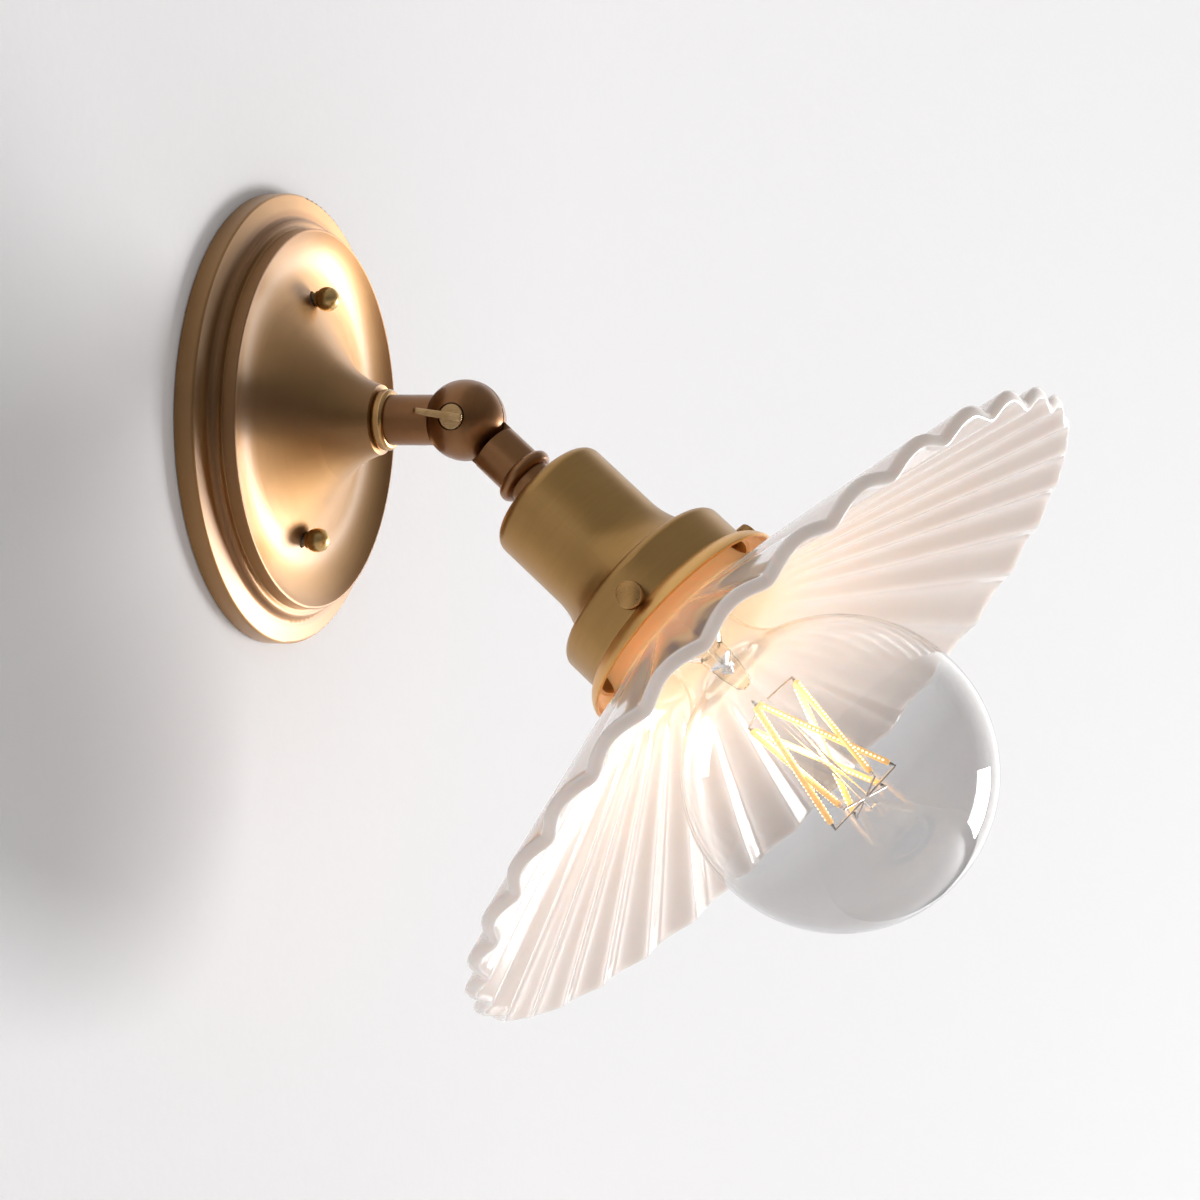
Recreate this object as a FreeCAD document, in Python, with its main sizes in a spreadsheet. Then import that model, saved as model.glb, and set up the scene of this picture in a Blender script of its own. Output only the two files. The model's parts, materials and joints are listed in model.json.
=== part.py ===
import FreeCAD, Part
import Sketcher
import math
import os
import re

# Swivel wall sconce with a fluted glass shade.
#
# Frame: origin at the centre of the canopy on the wall plane, +Z up, and the wall's outward
# normal along -Y.  Millimetres and degrees.  Three axes carry the pieces:
#   wall axis   from the origin straight out of the wall,
#   pivot axis  parallel to X through the centre of the ball swivel,
#   lamp axis   from the swivel's centre, tilted below horizontal.
# Each turned piece is drawn in its own frame with +Z along its axis and then set on that axis.

doc = FreeCAD.newDocument("wall_sconce")

# ---------------------------------------------------------------- driving dimensions

DIMENSIONS = {
    # canopy, turned about the wall axis
    "canopy_radius": 71.0,
    "canopy_rim_height": 6.2,
    "canopy_wall": 1.2,
    "canopy_edge_round": 0.9,
    "ring_width": 6.6,
    "ring_rise": 0.9,
    "step_cove": 1.6,
    "step_bead": 1.3,
    "tier_ledge": 1.6,
    "tier_height": 14.4,
    "tier_land": 0.9,
    "dish_rise_angle": 41.0,
    "flare_radius": 64.0,
    "flare_outer_slope": 69.0,
    "flare_inner_slope": 48.0,
    "neck_flare_radius": 26.1,
    "neck_radius": 11.0,
    "neck_slope": 14.4,
    "neck_end_wall": 1.8,
    # crossbar and what fastens the canopy
    "bar_thickness": 2.0,
    "bar_width": 19.0,
    "bar_length": 108.0,
    "slot_spacing": 79.4,
    "slot_length": 14.5,
    "slot_radius": 2.5,
    "stud_hole_clearance": 0.5,
    "bar_centre_hole": 6.0,
    "stud_spacing": 76.2,
    "stud_radius": 2.08,
    "ball_nut_radius": 3.9,
    "ball_nut_foot": 2.7,
    "ball_nut_foot_height": 0.6,
    "ball_nut_grip": 4.6,
    "ball_nut_end_gap": 0.5,
    "ground_screw_drop": 17.0,
    "ground_screw_radius": 1.9,
    "ground_head_radius": 3.8,
    "ground_head_height": 2.2,
    # threaded nipples, lock nuts and rings
    "nipple_radius": 5.0,
    "nipple_bore": 3.6,
    "nipple_depth": 7.6,
    "nipple_tail": 1.1,
    "nut_flats": 14.3,
    "nut_thickness": 3.2,
    "washer_radius": 7.4,
    "washer_thickness": 0.8,
    "washer_notch": 0.7,
    "washer_teeth": 8.0,
    "close_fit": 0.05,
    "neck_ring_radius": 9.6,
    "neck_ring_length": 4.0,
    "neck_ring_round": 1.3,
    "holder_ring_radius": 9.7,
    "holder_bead_length": 4.4,
    "holder_collar_radius": 7.4,
    "holder_collar_foot": 1.4,
    "holder_ring_length": 10.5,
    # ball swivel
    "ball_radius": 12.7,
    "tube_radius": 7.94,
    "tube_reach": 24.5,
    "tube_step": 13.25,
    "wire_bore": 3.6,
    "wire_bore_floor": 6.8,
    "tap_runout": 0.4,
    "flat_gap": 0.6,
    "friction_washer_radius": 6.2,
    "friction_washer_thickness": 0.48,
    "friction_washer_gap": 0.2,
    "tilt": 40.0,
    # thumb key
    "key_shaft_radius": 2.5,
    "key_head_radius": 4.0,
    "key_head_seat": 8.6,
    "key_head_face": 12.15,
    "key_bore_depth": 9.0,
    "key_end_gap": 0.5,
    "key_well_clearance": 0.35,
    "key_bar_length": 16.5,
    "key_bar_overhang": 4.3,
    "key_bar_width": 2.6,
    "key_bar_thickness": 2.0,
    "key_bar_angle": 8.0,
    "key_bar_round": 0.5,
    # shade holder
    "cup_radius": 20.8,
    "cup_corner": 4.0,
    "cup_wall": 1.2,
    "cup_straight": 27.5,
    "cup_flare_width": 4.6,
    "cup_flare_length": 14.5,
    "gallery_radius": 32.0,
    "gallery_corner": 2.8,
    "gallery_depth": 14.3,
    "lip_arc_radius": 8.0,
    "lip_start_slope": 74.0,
    "lip_end_slope": 15.0,
    "screw_level": 11.3,
    "screw_phase": 175.7,
    # thumbscrews of the gallery
    "screw_radius": 1.75,
    "screw_head_radius": 4.0,
    "screw_head_length": 3.0,
    "screw_face_reach": 37.8,
    "screw_neck_radius": 2.5,
    "screw_edge": 0.3,
    # glass shade
    "glass_thickness": 4.0,
    "fitter_radius": 28.6,
    "fitter_bead": 3.5,
    "fitter_neck_radius": 27.3,
    "shade_radius": 122.5,
    "shade_neck_height": 11.55,
    "shade_slope": 20.4,
    "shade_trumpet_radius": 13.0,
    "flute_count": 36.0,
    "flute_height": 2.0,
    "ridge_share": 0.15,
    "scallop_reach": 1.6,
    "flute_root_radius": 52.0,
    "flute_root_height": 0.6,
    "rim_round_share": 0.25,
    # lampholder
    "lampholder_radius": 17.2,
    "lampholder_length": 47.0,
    "lampholder_cap_length": 9.0,
    "lampholder_cap_wall": 1.0,
    "hub_radius": 7.4,
    "hub_length": 5.0,
    "porcelain_round": 1.2,
    "socket_gap": 0.1,
    "socket_depth": 25.5,
    "shell_wall": 0.4,
    "shell_length": 23.0,
    "contact_radius": 3.4,
    "contact_height": 1.6,
    "contact_clearance": 2.0,
    # globe lamp
    "globe_radius": 47.5,
    "globe_wall": 0.9,
    "globe_centre": 90.4,
    "globe_neck_fillet": 17.0,
    "cap_radius": 13.1,
    "cap_wall": 0.35,
    "cap_start": 5.2,
    "cap_end": 27.0,
    "cap_taper": 3.6,
    "glass_seal_depth": 3.0,
    "tip_height": 1.5,
    "tip_ledge": 1.0,
    "stem_radius": 9.0,
    "stem_start": 27.0,
    "pinch_level": 50.0,
    "rod_radius": 1.4,
    "rod_end": 104.5,
    "crown_level": 58.6,
    "crown_radius": 12.0,
    "crown_turn": 60.0,
    "foot_level": 101.1,
    "foot_radius": 13.0,
    "filament_twist": 80.0,
    "filament_radius": 1.0,
    "filament_tail": 2.0,
    "support_wire_radius": 0.35,
}

sheet = doc.addObject("Spreadsheet::Sheet", "Dims")
for row, (alias, value) in enumerate(DIMENSIONS.items(), start=1):
    cell = "B" + str(row)
    sheet.set("A" + str(row), alias)
    sheet.set(cell, str(value))
    sheet.setAlias(cell, alias)
doc.recompute()

ALIAS = re.compile(r"\b(" + "|".join(DIMENSIONS) + r")\b")


def bound(words):
    """The same expression with each alias read from the sheet."""
    return ALIAS.sub(r"Dims.\1", words)


def number(words):
    """The value of an expression in the sheet's aliases."""
    return float(sheet.evalExpression(words))


# ---------------------------------------------------------------- lengths made of others

SIN_LOW = "sin(flare_inner_slope * 1deg)"
COS_LOW = "cos(flare_inner_slope * 1deg)"
SIN_HIGH = "sin(flare_outer_slope * 1deg)"
COS_HIGH = "cos(flare_outer_slope * 1deg)"
SIN_NECK = "sin(neck_slope * 1deg)"
COS_NECK = "cos(neck_slope * 1deg)"
SIN_DISH = "sin(dish_rise_angle * 1deg)"
COS_DISH = "cos(dish_rise_angle * 1deg)"

# The face is a chain of tangent arcs from the tier's edge to the neck; the dish's arc takes up
# what the trumpet's two arcs leave of the way.
STEP_R = "(canopy_radius - ring_width - step_cove)"
TIER_R = f"({STEP_R} - step_bead - tier_ledge)"
DISH_END_R = f"({TIER_R} - tier_land)"
FLARE_IN_R = f"(neck_radius + neck_flare_radius * ({COS_NECK} - {COS_LOW}))"
FLARE_OUT_R = f"({FLARE_IN_R} + flare_radius * ({COS_LOW} - {COS_HIGH}))"
DISH_ARC = f"(({DISH_END_R} - {FLARE_OUT_R}) / ({SIN_DISH} + {COS_HIGH}))"
DISH_LOW_R = f"({FLARE_OUT_R} + {DISH_ARC} * {COS_HIGH})"
DISH_LOW_H = f"(tier_height - {DISH_ARC} * (1 - {COS_DISH}))"
FLARE_OUT_H = f"({DISH_LOW_H} + {DISH_ARC} * (1 - {SIN_HIGH}))"
FLARE_IN_H = f"({FLARE_OUT_H} + flare_radius * ({SIN_HIGH} - {SIN_LOW}))"
NECK_H = f"({FLARE_IN_H} + neck_flare_radius * ({SIN_LOW} - {SIN_NECK}))"

PIVOT_REACH = f"({NECK_H} + neck_ring_length + tube_reach)"
CUP_SEAT = "(tube_reach + holder_ring_length)"
SHOULDER = "(cup_straight + cup_flare_length)"
LIP_START = f"({SHOULDER} + gallery_depth)"
SHADE_SEAT = f"({CUP_SEAT} + {SHOULDER} + cup_wall)"
CAP_SEAT = f"({CUP_SEAT} + cup_wall + washer_thickness + nut_thickness)"
PORCELAIN_SEAT = f"({CAP_SEAT} + lampholder_cap_length)"
SOCKET_MOUTH = f"({PORCELAIN_SEAT} + lampholder_length)"
SOCKET_FLOOR = f"({SOCKET_MOUTH} - socket_depth)"
BULB_SEAT = f"({SOCKET_FLOOR} + contact_height)"
THREAD_HOLE = "(nipple_radius + close_fit)"
STUD_TAP = "(stud_radius + close_fit)"
KEY_BORE = "(key_shaft_radius + close_fit)"
SHELL_R = "(cap_radius + close_fit + shell_wall)"
GLOBE_NECK_R = "(cap_radius - cap_wall - close_fit)"
STEM_FOOT_R = f"({GLOBE_NECK_R} - globe_wall - close_fit)"


def face_height(radius):
    """Height of the canopy's dished face at a radius on its outer two arcs."""
    low_radius = number(DISH_LOW_R)
    flare_edge = number(FLARE_OUT_R)
    if radius >= flare_edge:
        arc = number(DISH_ARC)
        centre = number(DISH_LOW_H) + arc
        return centre - math.sqrt(arc ** 2 - (radius - low_radius) ** 2)
    arc = number("flare_radius")
    centre_r = flare_edge + arc * number(COS_HIGH)
    centre_h = number(FLARE_OUT_H) + arc * number(SIN_HIGH)
    return centre_h - math.sqrt(arc ** 2 - (centre_r - radius) ** 2)


# ---------------------------------------------------------------- frames


def axis_frame(turn, base=(0.0, 0.0, 0.0)):
    """A frame turned about X, so that its +Z leaves the wall at turn = 90."""
    return FreeCAD.Placement(FreeCAD.Vector(*base), FreeCAD.Rotation(FreeCAD.Vector(1, 0, 0), turn))


def along(distance):
    """A shift along a frame's own +Z."""
    return FreeCAD.Placement(FreeCAD.Vector(0, 0, distance), FreeCAD.Rotation())


def about_own_axis(turn):
    """A turn about a frame's own +Z."""
    return FreeCAD.Placement(FreeCAD.Vector(), FreeCAD.Rotation(FreeCAD.Vector(0, 0, 1), turn))


PIVOT = (0.0, -number(PIVOT_REACH), 0.0)
WALL = axis_frame(90)
FIXED_ARM = axis_frame(-90, PIVOT)
LAMP = axis_frame(90 + number("tilt"), PIVOT)


# ---------------------------------------------------------------- drawing helpers


def own_plane(body, role):
    """One of a body's own origin planes."""
    for feature in body.Origin.OriginFeatures:
        if feature.Role == role:
            return feature
    raise ValueError("no plane " + role)


def new_sketch(body, name, role):
    """A sketch on one of the body's origin planes."""
    sketch = body.newObject("Sketcher::SketchObject", name)
    sketch.AttachmentSupport = [(own_plane(body, role), "")]
    sketch.MapMode = "FlatFace"
    return sketch


def arc_between(start, end, radius, bend):
    """Centre and end angles of the shorter arc; bend 1 turns left and -1 turns right."""
    half = [(end[0] - start[0]) / 2, (end[1] - start[1]) / 2]
    reach = math.hypot(*half)
    rise = bend * math.sqrt(max(radius ** 2 - reach ** 2, 0.0))
    centre = (start[0] + half[0] - half[1] / reach * rise, start[1] + half[1] + half[0] / reach * rise)
    first = math.atan2(start[1] - centre[1], start[0] - centre[0])
    last = math.atan2(end[1] - centre[1], end[0] - centre[0])
    return (centre, first, last) if bend > 0 else (centre, last, first)


def draw_outline(sketch, corners):
    """Closed outline.  A corner is (x, y), or (x, y, radius, bend) where an arc arrives at it."""
    points = [(number(corner[0]), number(corner[1])) for corner in corners]
    upright = FreeCAD.Vector(0, 0, 1)
    ends = []
    for index, corner in enumerate(corners):
        start = points[index - 1]
        end = points[index]
        if len(corner) == 2:
            edge = Part.LineSegment(FreeCAD.Vector(*start, 0), FreeCAD.Vector(*end, 0))
            sketch.addGeometry(edge, False)
            ends.append((1, 2))
            continue
        radius = number(corner[2])
        centre, first, last = arc_between(start, end, radius, corner[3])
        circle = Part.Circle(FreeCAD.Vector(*centre, 0), upright, radius)
        sketch.addGeometry(Part.ArcOfCircle(circle, first, last), False)
        ends.append((1, 2) if corner[3] > 0 else (2, 1))
    count = len(corners)
    for index, corner in enumerate(corners):
        following = (index + 1) % count
        tail = ends[index][1]
        sketch.addConstraint(Sketcher.Constraint("Coincident", index, tail, following, ends[following][0]))
        if corner[0] == "0":
            sketch.addConstraint(Sketcher.Constraint("PointOnObject", index, tail, -2))
        else:
            across = Sketcher.Constraint("DistanceX", -1, 1, index, tail, points[index][0])
            place = sketch.addConstraint(across)
            sketch.setExpression(f"Constraints[{place}]", bound(corner[0]))
        if corner[1] == "0":
            sketch.addConstraint(Sketcher.Constraint("PointOnObject", index, tail, -1))
        else:
            up = Sketcher.Constraint("DistanceY", -1, 1, index, tail, points[index][1])
            place = sketch.addConstraint(up)
            sketch.setExpression(f"Constraints[{place}]", bound(corner[1]))
        if len(corner) == 4:
            place = sketch.addConstraint(Sketcher.Constraint("Radius", index, number(corner[2])))
            sketch.setExpression(f"Constraints[{place}]", bound(corner[2]))


def draw_circle(sketch, x, y, radius):
    """Circle with its centre and radius bound to the sheet."""
    centre = FreeCAD.Vector(number(x), number(y), 0)
    index = sketch.addGeometry(Part.Circle(centre, FreeCAD.Vector(0, 0, 1), number(radius)), False)
    for kind, words, axis in (("DistanceX", x, -2), ("DistanceY", y, -1)):
        if words == "0":
            sketch.addConstraint(Sketcher.Constraint("PointOnObject", index, 3, axis))
            continue
        place = sketch.addConstraint(Sketcher.Constraint(kind, -1, 1, index, 3, number(words)))
        sketch.setExpression(f"Constraints[{place}]", bound(words))
    place = sketch.addConstraint(Sketcher.Constraint("Radius", index, number(radius)))
    sketch.setExpression(f"Constraints[{place}]", bound(radius))


def turned(label, corners, placement):
    """A body turned about its own Z from half an outline (x = radius, y = along the axis)."""
    body = doc.addObject("PartDesign::Body", label)
    sketch = new_sketch(body, label + "_profile", "XZ_Plane")
    draw_outline(sketch, corners)
    revolve = body.newObject("PartDesign::Revolution", label + "_turned")
    revolve.Profile = sketch
    revolve.ReferenceAxis = (sketch, ["V_Axis"])
    revolve.Angle = 360
    body.Placement = placement
    return body


def bored(body, label, role, x, y, radius, reverse):
    """A round hole right through one side of the body, square to an origin plane."""
    sketch = new_sketch(body, label + "_sketch", role)
    draw_circle(sketch, x, y, radius)
    pocket = body.newObject("PartDesign::Pocket", label)
    pocket.Profile = sketch
    pocket.Type = "ThroughAll"
    pocket.Reversed = reverse
    return pocket


def shape_feature(label, shape, placement):
    """A piece whose shape Part's functions make, drawn in its own frame."""
    feature = doc.addObject("Part::Feature", label)
    feature.Shape = shape
    feature.Placement = placement
    return feature


def primitive(kind, name, sizes, turn=None):
    """A Part primitive with its sizes and place bound to the sheet."""
    item = doc.addObject("Part::" + kind, name)
    if turn:
        item.Placement = FreeCAD.Placement(FreeCAD.Vector(), turn)
    for field, words in sizes.items():
        item.setExpression(field, bound(words))
    return item


def rod(name, radius, start, end, place=None):
    """A cylinder along Z from start to end."""
    sizes = {"Radius": radius, "Height": f"{end} - {start}", "Placement.Base.z": start}
    sizes.update(place or {})
    return primitive("Cylinder", name, sizes)


def cross_rod(name, radius, start, end):
    """A cylinder along X from start to end."""
    to_x = FreeCAD.Rotation(FreeCAD.Vector(0, 1, 0), 90)
    sizes = {"Radius": radius, "Height": f"{end} - {start}", "Placement.Base.x": start}
    return primitive("Cylinder", name, sizes, to_x)


def block(name, low, high):
    """A box between two corners."""
    sizes = {}
    for side, axis, start, end in zip(("Length", "Width", "Height"), "xyz", low, high):
        sizes[side] = f"({end}) - ({start})"
        sizes["Placement.Base." + axis] = start
    return primitive("Box", name, sizes)


def fused(name, items):
    """All the items as one."""
    whole = doc.addObject("Part::MultiFuse", name)
    whole.Shapes = items
    return whole


def cut_from(label, base, tools, placement):
    """The base less every tool, set in its frame."""
    piece = doc.addObject("Part::Cut", label)
    piece.Base = base
    piece.Tool = tools[0] if len(tools) == 1 else fused(label + "_tools", tools)
    piece.Placement = placement
    return piece


def outline_edges(corners, closed=True):
    """Edges of an outline in the XZ plane, described as for draw_outline."""
    points = [(number(corner[0]), number(corner[1])) for corner in corners]
    edges = []
    for index in range(0 if closed else 1, len(corners)):
        start = points[index - 1]
        end = points[index]
        corner = corners[index]
        first = FreeCAD.Vector(start[0], 0, start[1])
        last = FreeCAD.Vector(end[0], 0, end[1])
        if len(corner) == 2:
            edges.append(Part.LineSegment(first, last).toShape())
            continue
        radius = number(corner[2])
        centre, from_angle, to_angle = arc_between(start, end, radius, corner[3])
        while to_angle < from_angle:
            to_angle += 2 * math.pi
        middle = (from_angle + to_angle) / 2
        crown = FreeCAD.Vector(centre[0] + radius * math.cos(middle), 0,
                               centre[1] + radius * math.sin(middle))
        edges.append(Part.Arc(first, crown, last).toShape())
    return edges


def turned_solid(corners):
    """A solid of revolution about Z, for pieces that come in groups."""
    face = Part.Face(Part.Wire(outline_edges(corners)))
    return face.revolve(FreeCAD.Vector(), FreeCAD.Vector(0, 0, 1), 360)


def rod_between(radius, start, end):
    """A plain round rod from one point to another."""
    return Part.makeCylinder(radius, (end - start).Length, start, end - start)


# ---------------------------------------------------------------- canopy


def make_backplate():
    """Spun canopy: rim, ring, coved step, tier edge, dished face and trumpet neck, hollow behind."""
    step_h = "(canopy_rim_height + ring_rise)"
    ledge_h = f"({step_h} + step_cove + step_bead)"
    neck_in_sin = (f"((neck_flare_radius * {SIN_NECK} + neck_end_wall)"
                   " / (neck_flare_radius + canopy_wall))")
    neck_in_r = (f"(neck_radius + neck_flare_radius * {COS_NECK}"
                 f" - (neck_flare_radius + canopy_wall) * sqrt(1 - {neck_in_sin} ^ 2))")
    inner_edge = f"({TIER_R} - canopy_wall - {DISH_LOW_R})"
    dish_in_h = f"({DISH_LOW_H} + {DISH_ARC} - sqrt(({DISH_ARC} + canopy_wall) ^ 2 - {inner_edge} ^ 2))"
    corners = [
        ("canopy_radius - canopy_wall", "0"),
        ("canopy_radius", "0"),
        ("canopy_radius", "canopy_rim_height - canopy_edge_round"),
        ("canopy_radius - canopy_edge_round", "canopy_rim_height", "canopy_edge_round", 1),
        ("canopy_radius - ring_width", step_h),
        (STEP_R, f"{step_h} + step_cove", "step_cove", -1),
        (f"{STEP_R} - step_bead", ledge_h, "step_bead", 1),
        (f"{TIER_R} + tier_land / 2", ledge_h),
        (TIER_R, f"{ledge_h} + tier_land / 2", "tier_land / 2", -1),
        (TIER_R, "tier_height - tier_land / 2"),
        (f"{TIER_R} - tier_land / 2", "tier_height", "tier_land / 2", 1),
        (DISH_END_R, "tier_height"),
        (FLARE_OUT_R, FLARE_OUT_H, DISH_ARC, -1),
        (FLARE_IN_R, FLARE_IN_H, "flare_radius", -1),
        ("neck_radius", NECK_H, "neck_flare_radius", -1),
        (THREAD_HOLE, NECK_H),
        (THREAD_HOLE, f"{NECK_H} - neck_end_wall"),
        (neck_in_r, f"{NECK_H} - neck_end_wall"),
        (f"{FLARE_IN_R} - canopy_wall * {COS_LOW}", f"{FLARE_IN_H} - canopy_wall * {SIN_LOW}",
         "neck_flare_radius + canopy_wall", 1),
        (f"{FLARE_OUT_R} - canopy_wall * {COS_HIGH}", f"{FLARE_OUT_H} - canopy_wall * {SIN_HIGH}",
         "flare_radius + canopy_wall", 1),
        (f"{TIER_R} - canopy_wall", dish_in_h, f"{DISH_ARC} + canopy_wall", 1),
        (f"{TIER_R} - canopy_wall", f"{ledge_h} - canopy_wall"),
        (f"{STEP_R} - canopy_wall", f"{ledge_h} - canopy_wall"),
        (f"{STEP_R} - canopy_wall", f"{step_h} - canopy_wall"),
        ("canopy_radius - canopy_wall", "canopy_rim_height - canopy_wall"),
    ]
    body = turned("backplate", corners, WALL)
    hole = "stud_radius + stud_hole_clearance"
    bored(body, "upper_stud_hole", "XY_Plane", "0", "stud_spacing / 2", hole, True)
    bored(body, "lower_stud_hole", "XY_Plane", "0", "-stud_spacing / 2", hole, True)
    return body


def make_crossbar():
    """Stamped cross strap: upright arm tapped for the studs, level arm slotted for the box screws."""
    upright = block("upright_arm", ("-bar_width / 2", "-bar_length / 2", "0"),
                    ("bar_width / 2", "bar_length / 2", "bar_thickness"))
    level = block("level_arm", ("-bar_length / 2", "-bar_width / 2", "0"),
                  ("bar_length / 2", "bar_width / 2", "bar_thickness"))
    tools = [rod("bar_centre_bore", "bar_centre_hole", "-1", "(bar_thickness + 1)")]
    for side, sign in (("left", "-"), ("right", "")):
        middle = f"{sign}slot_spacing / 2"
        run = "(slot_length / 2 - slot_radius)"
        tools.append(block(side + "_slot", (f"{middle} - {run}", "-slot_radius", "-1"),
                           (f"{middle} + {run}", "slot_radius", "bar_thickness + 1")))
        for end, shift in (("inner", "-"), ("outer", "+")):
            spot = {"Placement.Base.x": f"{middle} {shift} {run}"}
            tools.append(rod(f"{side}_slot_{end}", "slot_radius", "-1", "(bar_thickness + 1)", spot))
    for level_name, sign in (("upper", ""), ("lower", "-")):
        spot = {"Placement.Base.y": f"{sign}stud_spacing / 2"}
        tools.append(rod(level_name + "_stud_tap", STUD_TAP, "-1", "(bar_thickness + 1)", spot))
    spot = {"Placement.Base.y": "-ground_screw_drop"}
    tap = "ground_screw_radius + close_fit"
    tools.append(rod("ground_tap", tap, "-1", "(bar_thickness + 1)", spot))
    return cut_from("mounting_crossbar", fused("bar_blank", [upright, level]), tools, WALL)


def make_studs():
    """Two threaded studs, flush with the back of the crossbar, that end inside the ball nuts."""
    length = face_height(number("stud_spacing / 2")) + number("ball_nut_grip")
    stud = Part.makeCylinder(number("stud_radius"), length)
    spots = [number("stud_spacing / 2"), -number("stud_spacing / 2")]
    group = [stud.translated(FreeCAD.Vector(0, spot, 0)) for spot in spots]
    return shape_feature("canopy_studs", Part.makeCompound(group), WALL)


def make_ball_nuts():
    """Two ball nuts, each with a short foot that stands on the dished face."""
    rise = "(ball_nut_foot_height + sqrt(ball_nut_radius ^ 2 - ball_nut_foot ^ 2))"
    corners = [
        (STUD_TAP, "0"),
        ("ball_nut_foot", "0"),
        ("ball_nut_foot", "ball_nut_foot_height"),
        ("ball_nut_radius", rise, "ball_nut_radius", 1),
        ("0", f"{rise} + ball_nut_radius", "ball_nut_radius", 1),
        ("0", "ball_nut_grip + ball_nut_end_gap"),
        (STUD_TAP, "ball_nut_grip + ball_nut_end_gap"),
    ]
    nut = turned_solid(corners)
    radius = number("stud_spacing / 2")
    foot = number("ball_nut_foot")
    height = max(face_height(radius - foot), face_height(radius + foot))
    group = [nut.translated(FreeCAD.Vector(0, spot, height)) for spot in (radius, -radius)]
    return shape_feature("ball_nuts", Part.makeCompound(group), WALL)


def make_ground_screw():
    """Pan-head earth screw in the crossbar's upright arm."""
    head_top = "bar_thickness + ground_head_height"
    corners = [
        ("0", "0"),
        ("ground_screw_radius", "0"),
        ("ground_screw_radius", "bar_thickness"),
        ("ground_head_radius", "bar_thickness"),
        ("ground_head_radius", f"{head_top} - ground_head_height / 2"),
        ("ground_head_radius - ground_head_height / 2", head_top, "ground_head_height / 2", 1),
        ("0", head_top),
    ]
    drop = FreeCAD.Placement(FreeCAD.Vector(0, -number("ground_screw_drop"), 0), FreeCAD.Rotation())
    return turned("ground_screw", corners, WALL.multiply(drop))


# ---------------------------------------------------------------- threaded stack


def make_nipple(label, start, end, frame):
    """Hollow threaded nipple between two stations of an axis."""
    length = f"{end} - {start}"
    corners = [("nipple_bore", "0"), ("nipple_radius", "0"), ("nipple_radius", length),
               ("nipple_bore", length)]
    return turned(label, corners, frame.multiply(along(number(start))))


def make_lock_nut(label, seat, frame):
    """Hexagon lock nut on a nipple."""
    blank = primitive("Prism", label + "_hexagon",
                      {"Circumradius": "nut_flats / 2 / cos(30deg)", "Height": "nut_thickness"})
    bore = rod(label + "_bore", THREAD_HOLE, "-1", "(nut_thickness + 1)")
    return cut_from(label, blank, [bore], frame.multiply(along(number(seat))))


def make_lock_washer(label, seat, frame):
    """Internal-tooth lock washer: a ring with notches between its teeth."""
    corners = [(THREAD_HOLE, "0"), ("washer_radius", "0"), ("washer_radius", "washer_thickness"),
               (THREAD_HOLE, "washer_thickness")]
    body = turned(label, corners, frame.multiply(along(number(seat))))
    middle = "nipple_radius + washer_notch"
    notch = bored(body, label + "_notch", "XY_Plane", middle, "0", "washer_notch", True)
    ring = body.newObject("PartDesign::PolarPattern", label + "_teeth")
    ring.Originals = [notch]
    ring.Axis = (notch.Profile[0], ["N_Axis"])
    ring.Angle = 360
    ring.Occurrences = round(number("washer_teeth"))
    body.Tip = ring
    return body


def make_neck_ring():
    """Check ring with rounded edges between the canopy's neck and the swivel."""
    corners = [
        (THREAD_HOLE, "0"),
        ("neck_ring_radius - neck_ring_round", "0"),
        ("neck_ring_radius", "neck_ring_round", "neck_ring_round", 1),
        ("neck_ring_radius", "neck_ring_length - neck_ring_round"),
        ("neck_ring_radius - neck_ring_round", "neck_ring_length", "neck_ring_round", 1),
        (THREAD_HOLE, "neck_ring_length"),
    ]
    return turned("neck_ring", corners, WALL.multiply(along(number(NECK_H))))


def make_holder_ring():
    """Check ring with a full bead and a collar that stands on the shade holder."""
    bead = "holder_bead_length / 2"
    corners = [
        (THREAD_HOLE, "0"),
        (f"holder_ring_radius - {bead}", "0"),
        ("holder_ring_radius", bead, bead, 1),
        (f"holder_ring_radius - {bead}", "holder_bead_length", bead, 1),
        ("holder_collar_radius", "holder_bead_length"),
        ("holder_collar_radius", "holder_ring_length - holder_collar_foot"),
        ("holder_collar_radius + holder_collar_foot", "holder_ring_length", "holder_collar_foot", -1),
        (THREAD_HOLE, "holder_ring_length"),
    ]
    return turned("holder_ring", corners, LAMP.multiply(along(number("tube_reach"))))


# ---------------------------------------------------------------- ball swivel


def half_ball_blank(name, far_side):
    """Ball and tube as one, with the other half's space cut away as far as the tube's step."""
    ball = primitive("Sphere", name + "_ball", {"Radius": "ball_radius"})
    tube = rod(name + "_tube", "tube_radius", "0", "tube_reach")
    low_x, high_x = ("ball_radius * -2", "flat_gap / 2")
    if far_side:
        low_x, high_x = ("flat_gap / -2", "ball_radius * 2")
    away = block(name + "_away", (low_x, "ball_radius * -2", "ball_radius * -2"),
                 (high_x, "ball_radius * 2", "tube_step"))
    tap_floor = "(tube_reach - nipple_depth - tap_runout)"
    wires = rod(name + "_wire_bore", "wire_bore", "wire_bore_floor", "(tube_reach + 1)")
    tap = rod(name + "_tap", THREAD_HOLE, tap_floor, "(tube_reach + 1)")
    return fused(name + "_blank", [ball, tube]), [away, wires, tap]


def make_fixed_half():
    """Half ball on the canopy's side, with the well that the key's head sits in."""
    blank, tools = half_ball_blank("fixed_half", True)
    tools.append(cross_rod("fixed_pivot_bore", KEY_BORE, "-ball_radius", "1"))
    tools.append(cross_rod("key_well", "key_head_radius + key_well_clearance", "(-ball_radius - 1)",
                           "-key_head_seat"))
    return cut_from("knuckle_fixed_half", blank, tools, FIXED_ARM)


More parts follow.
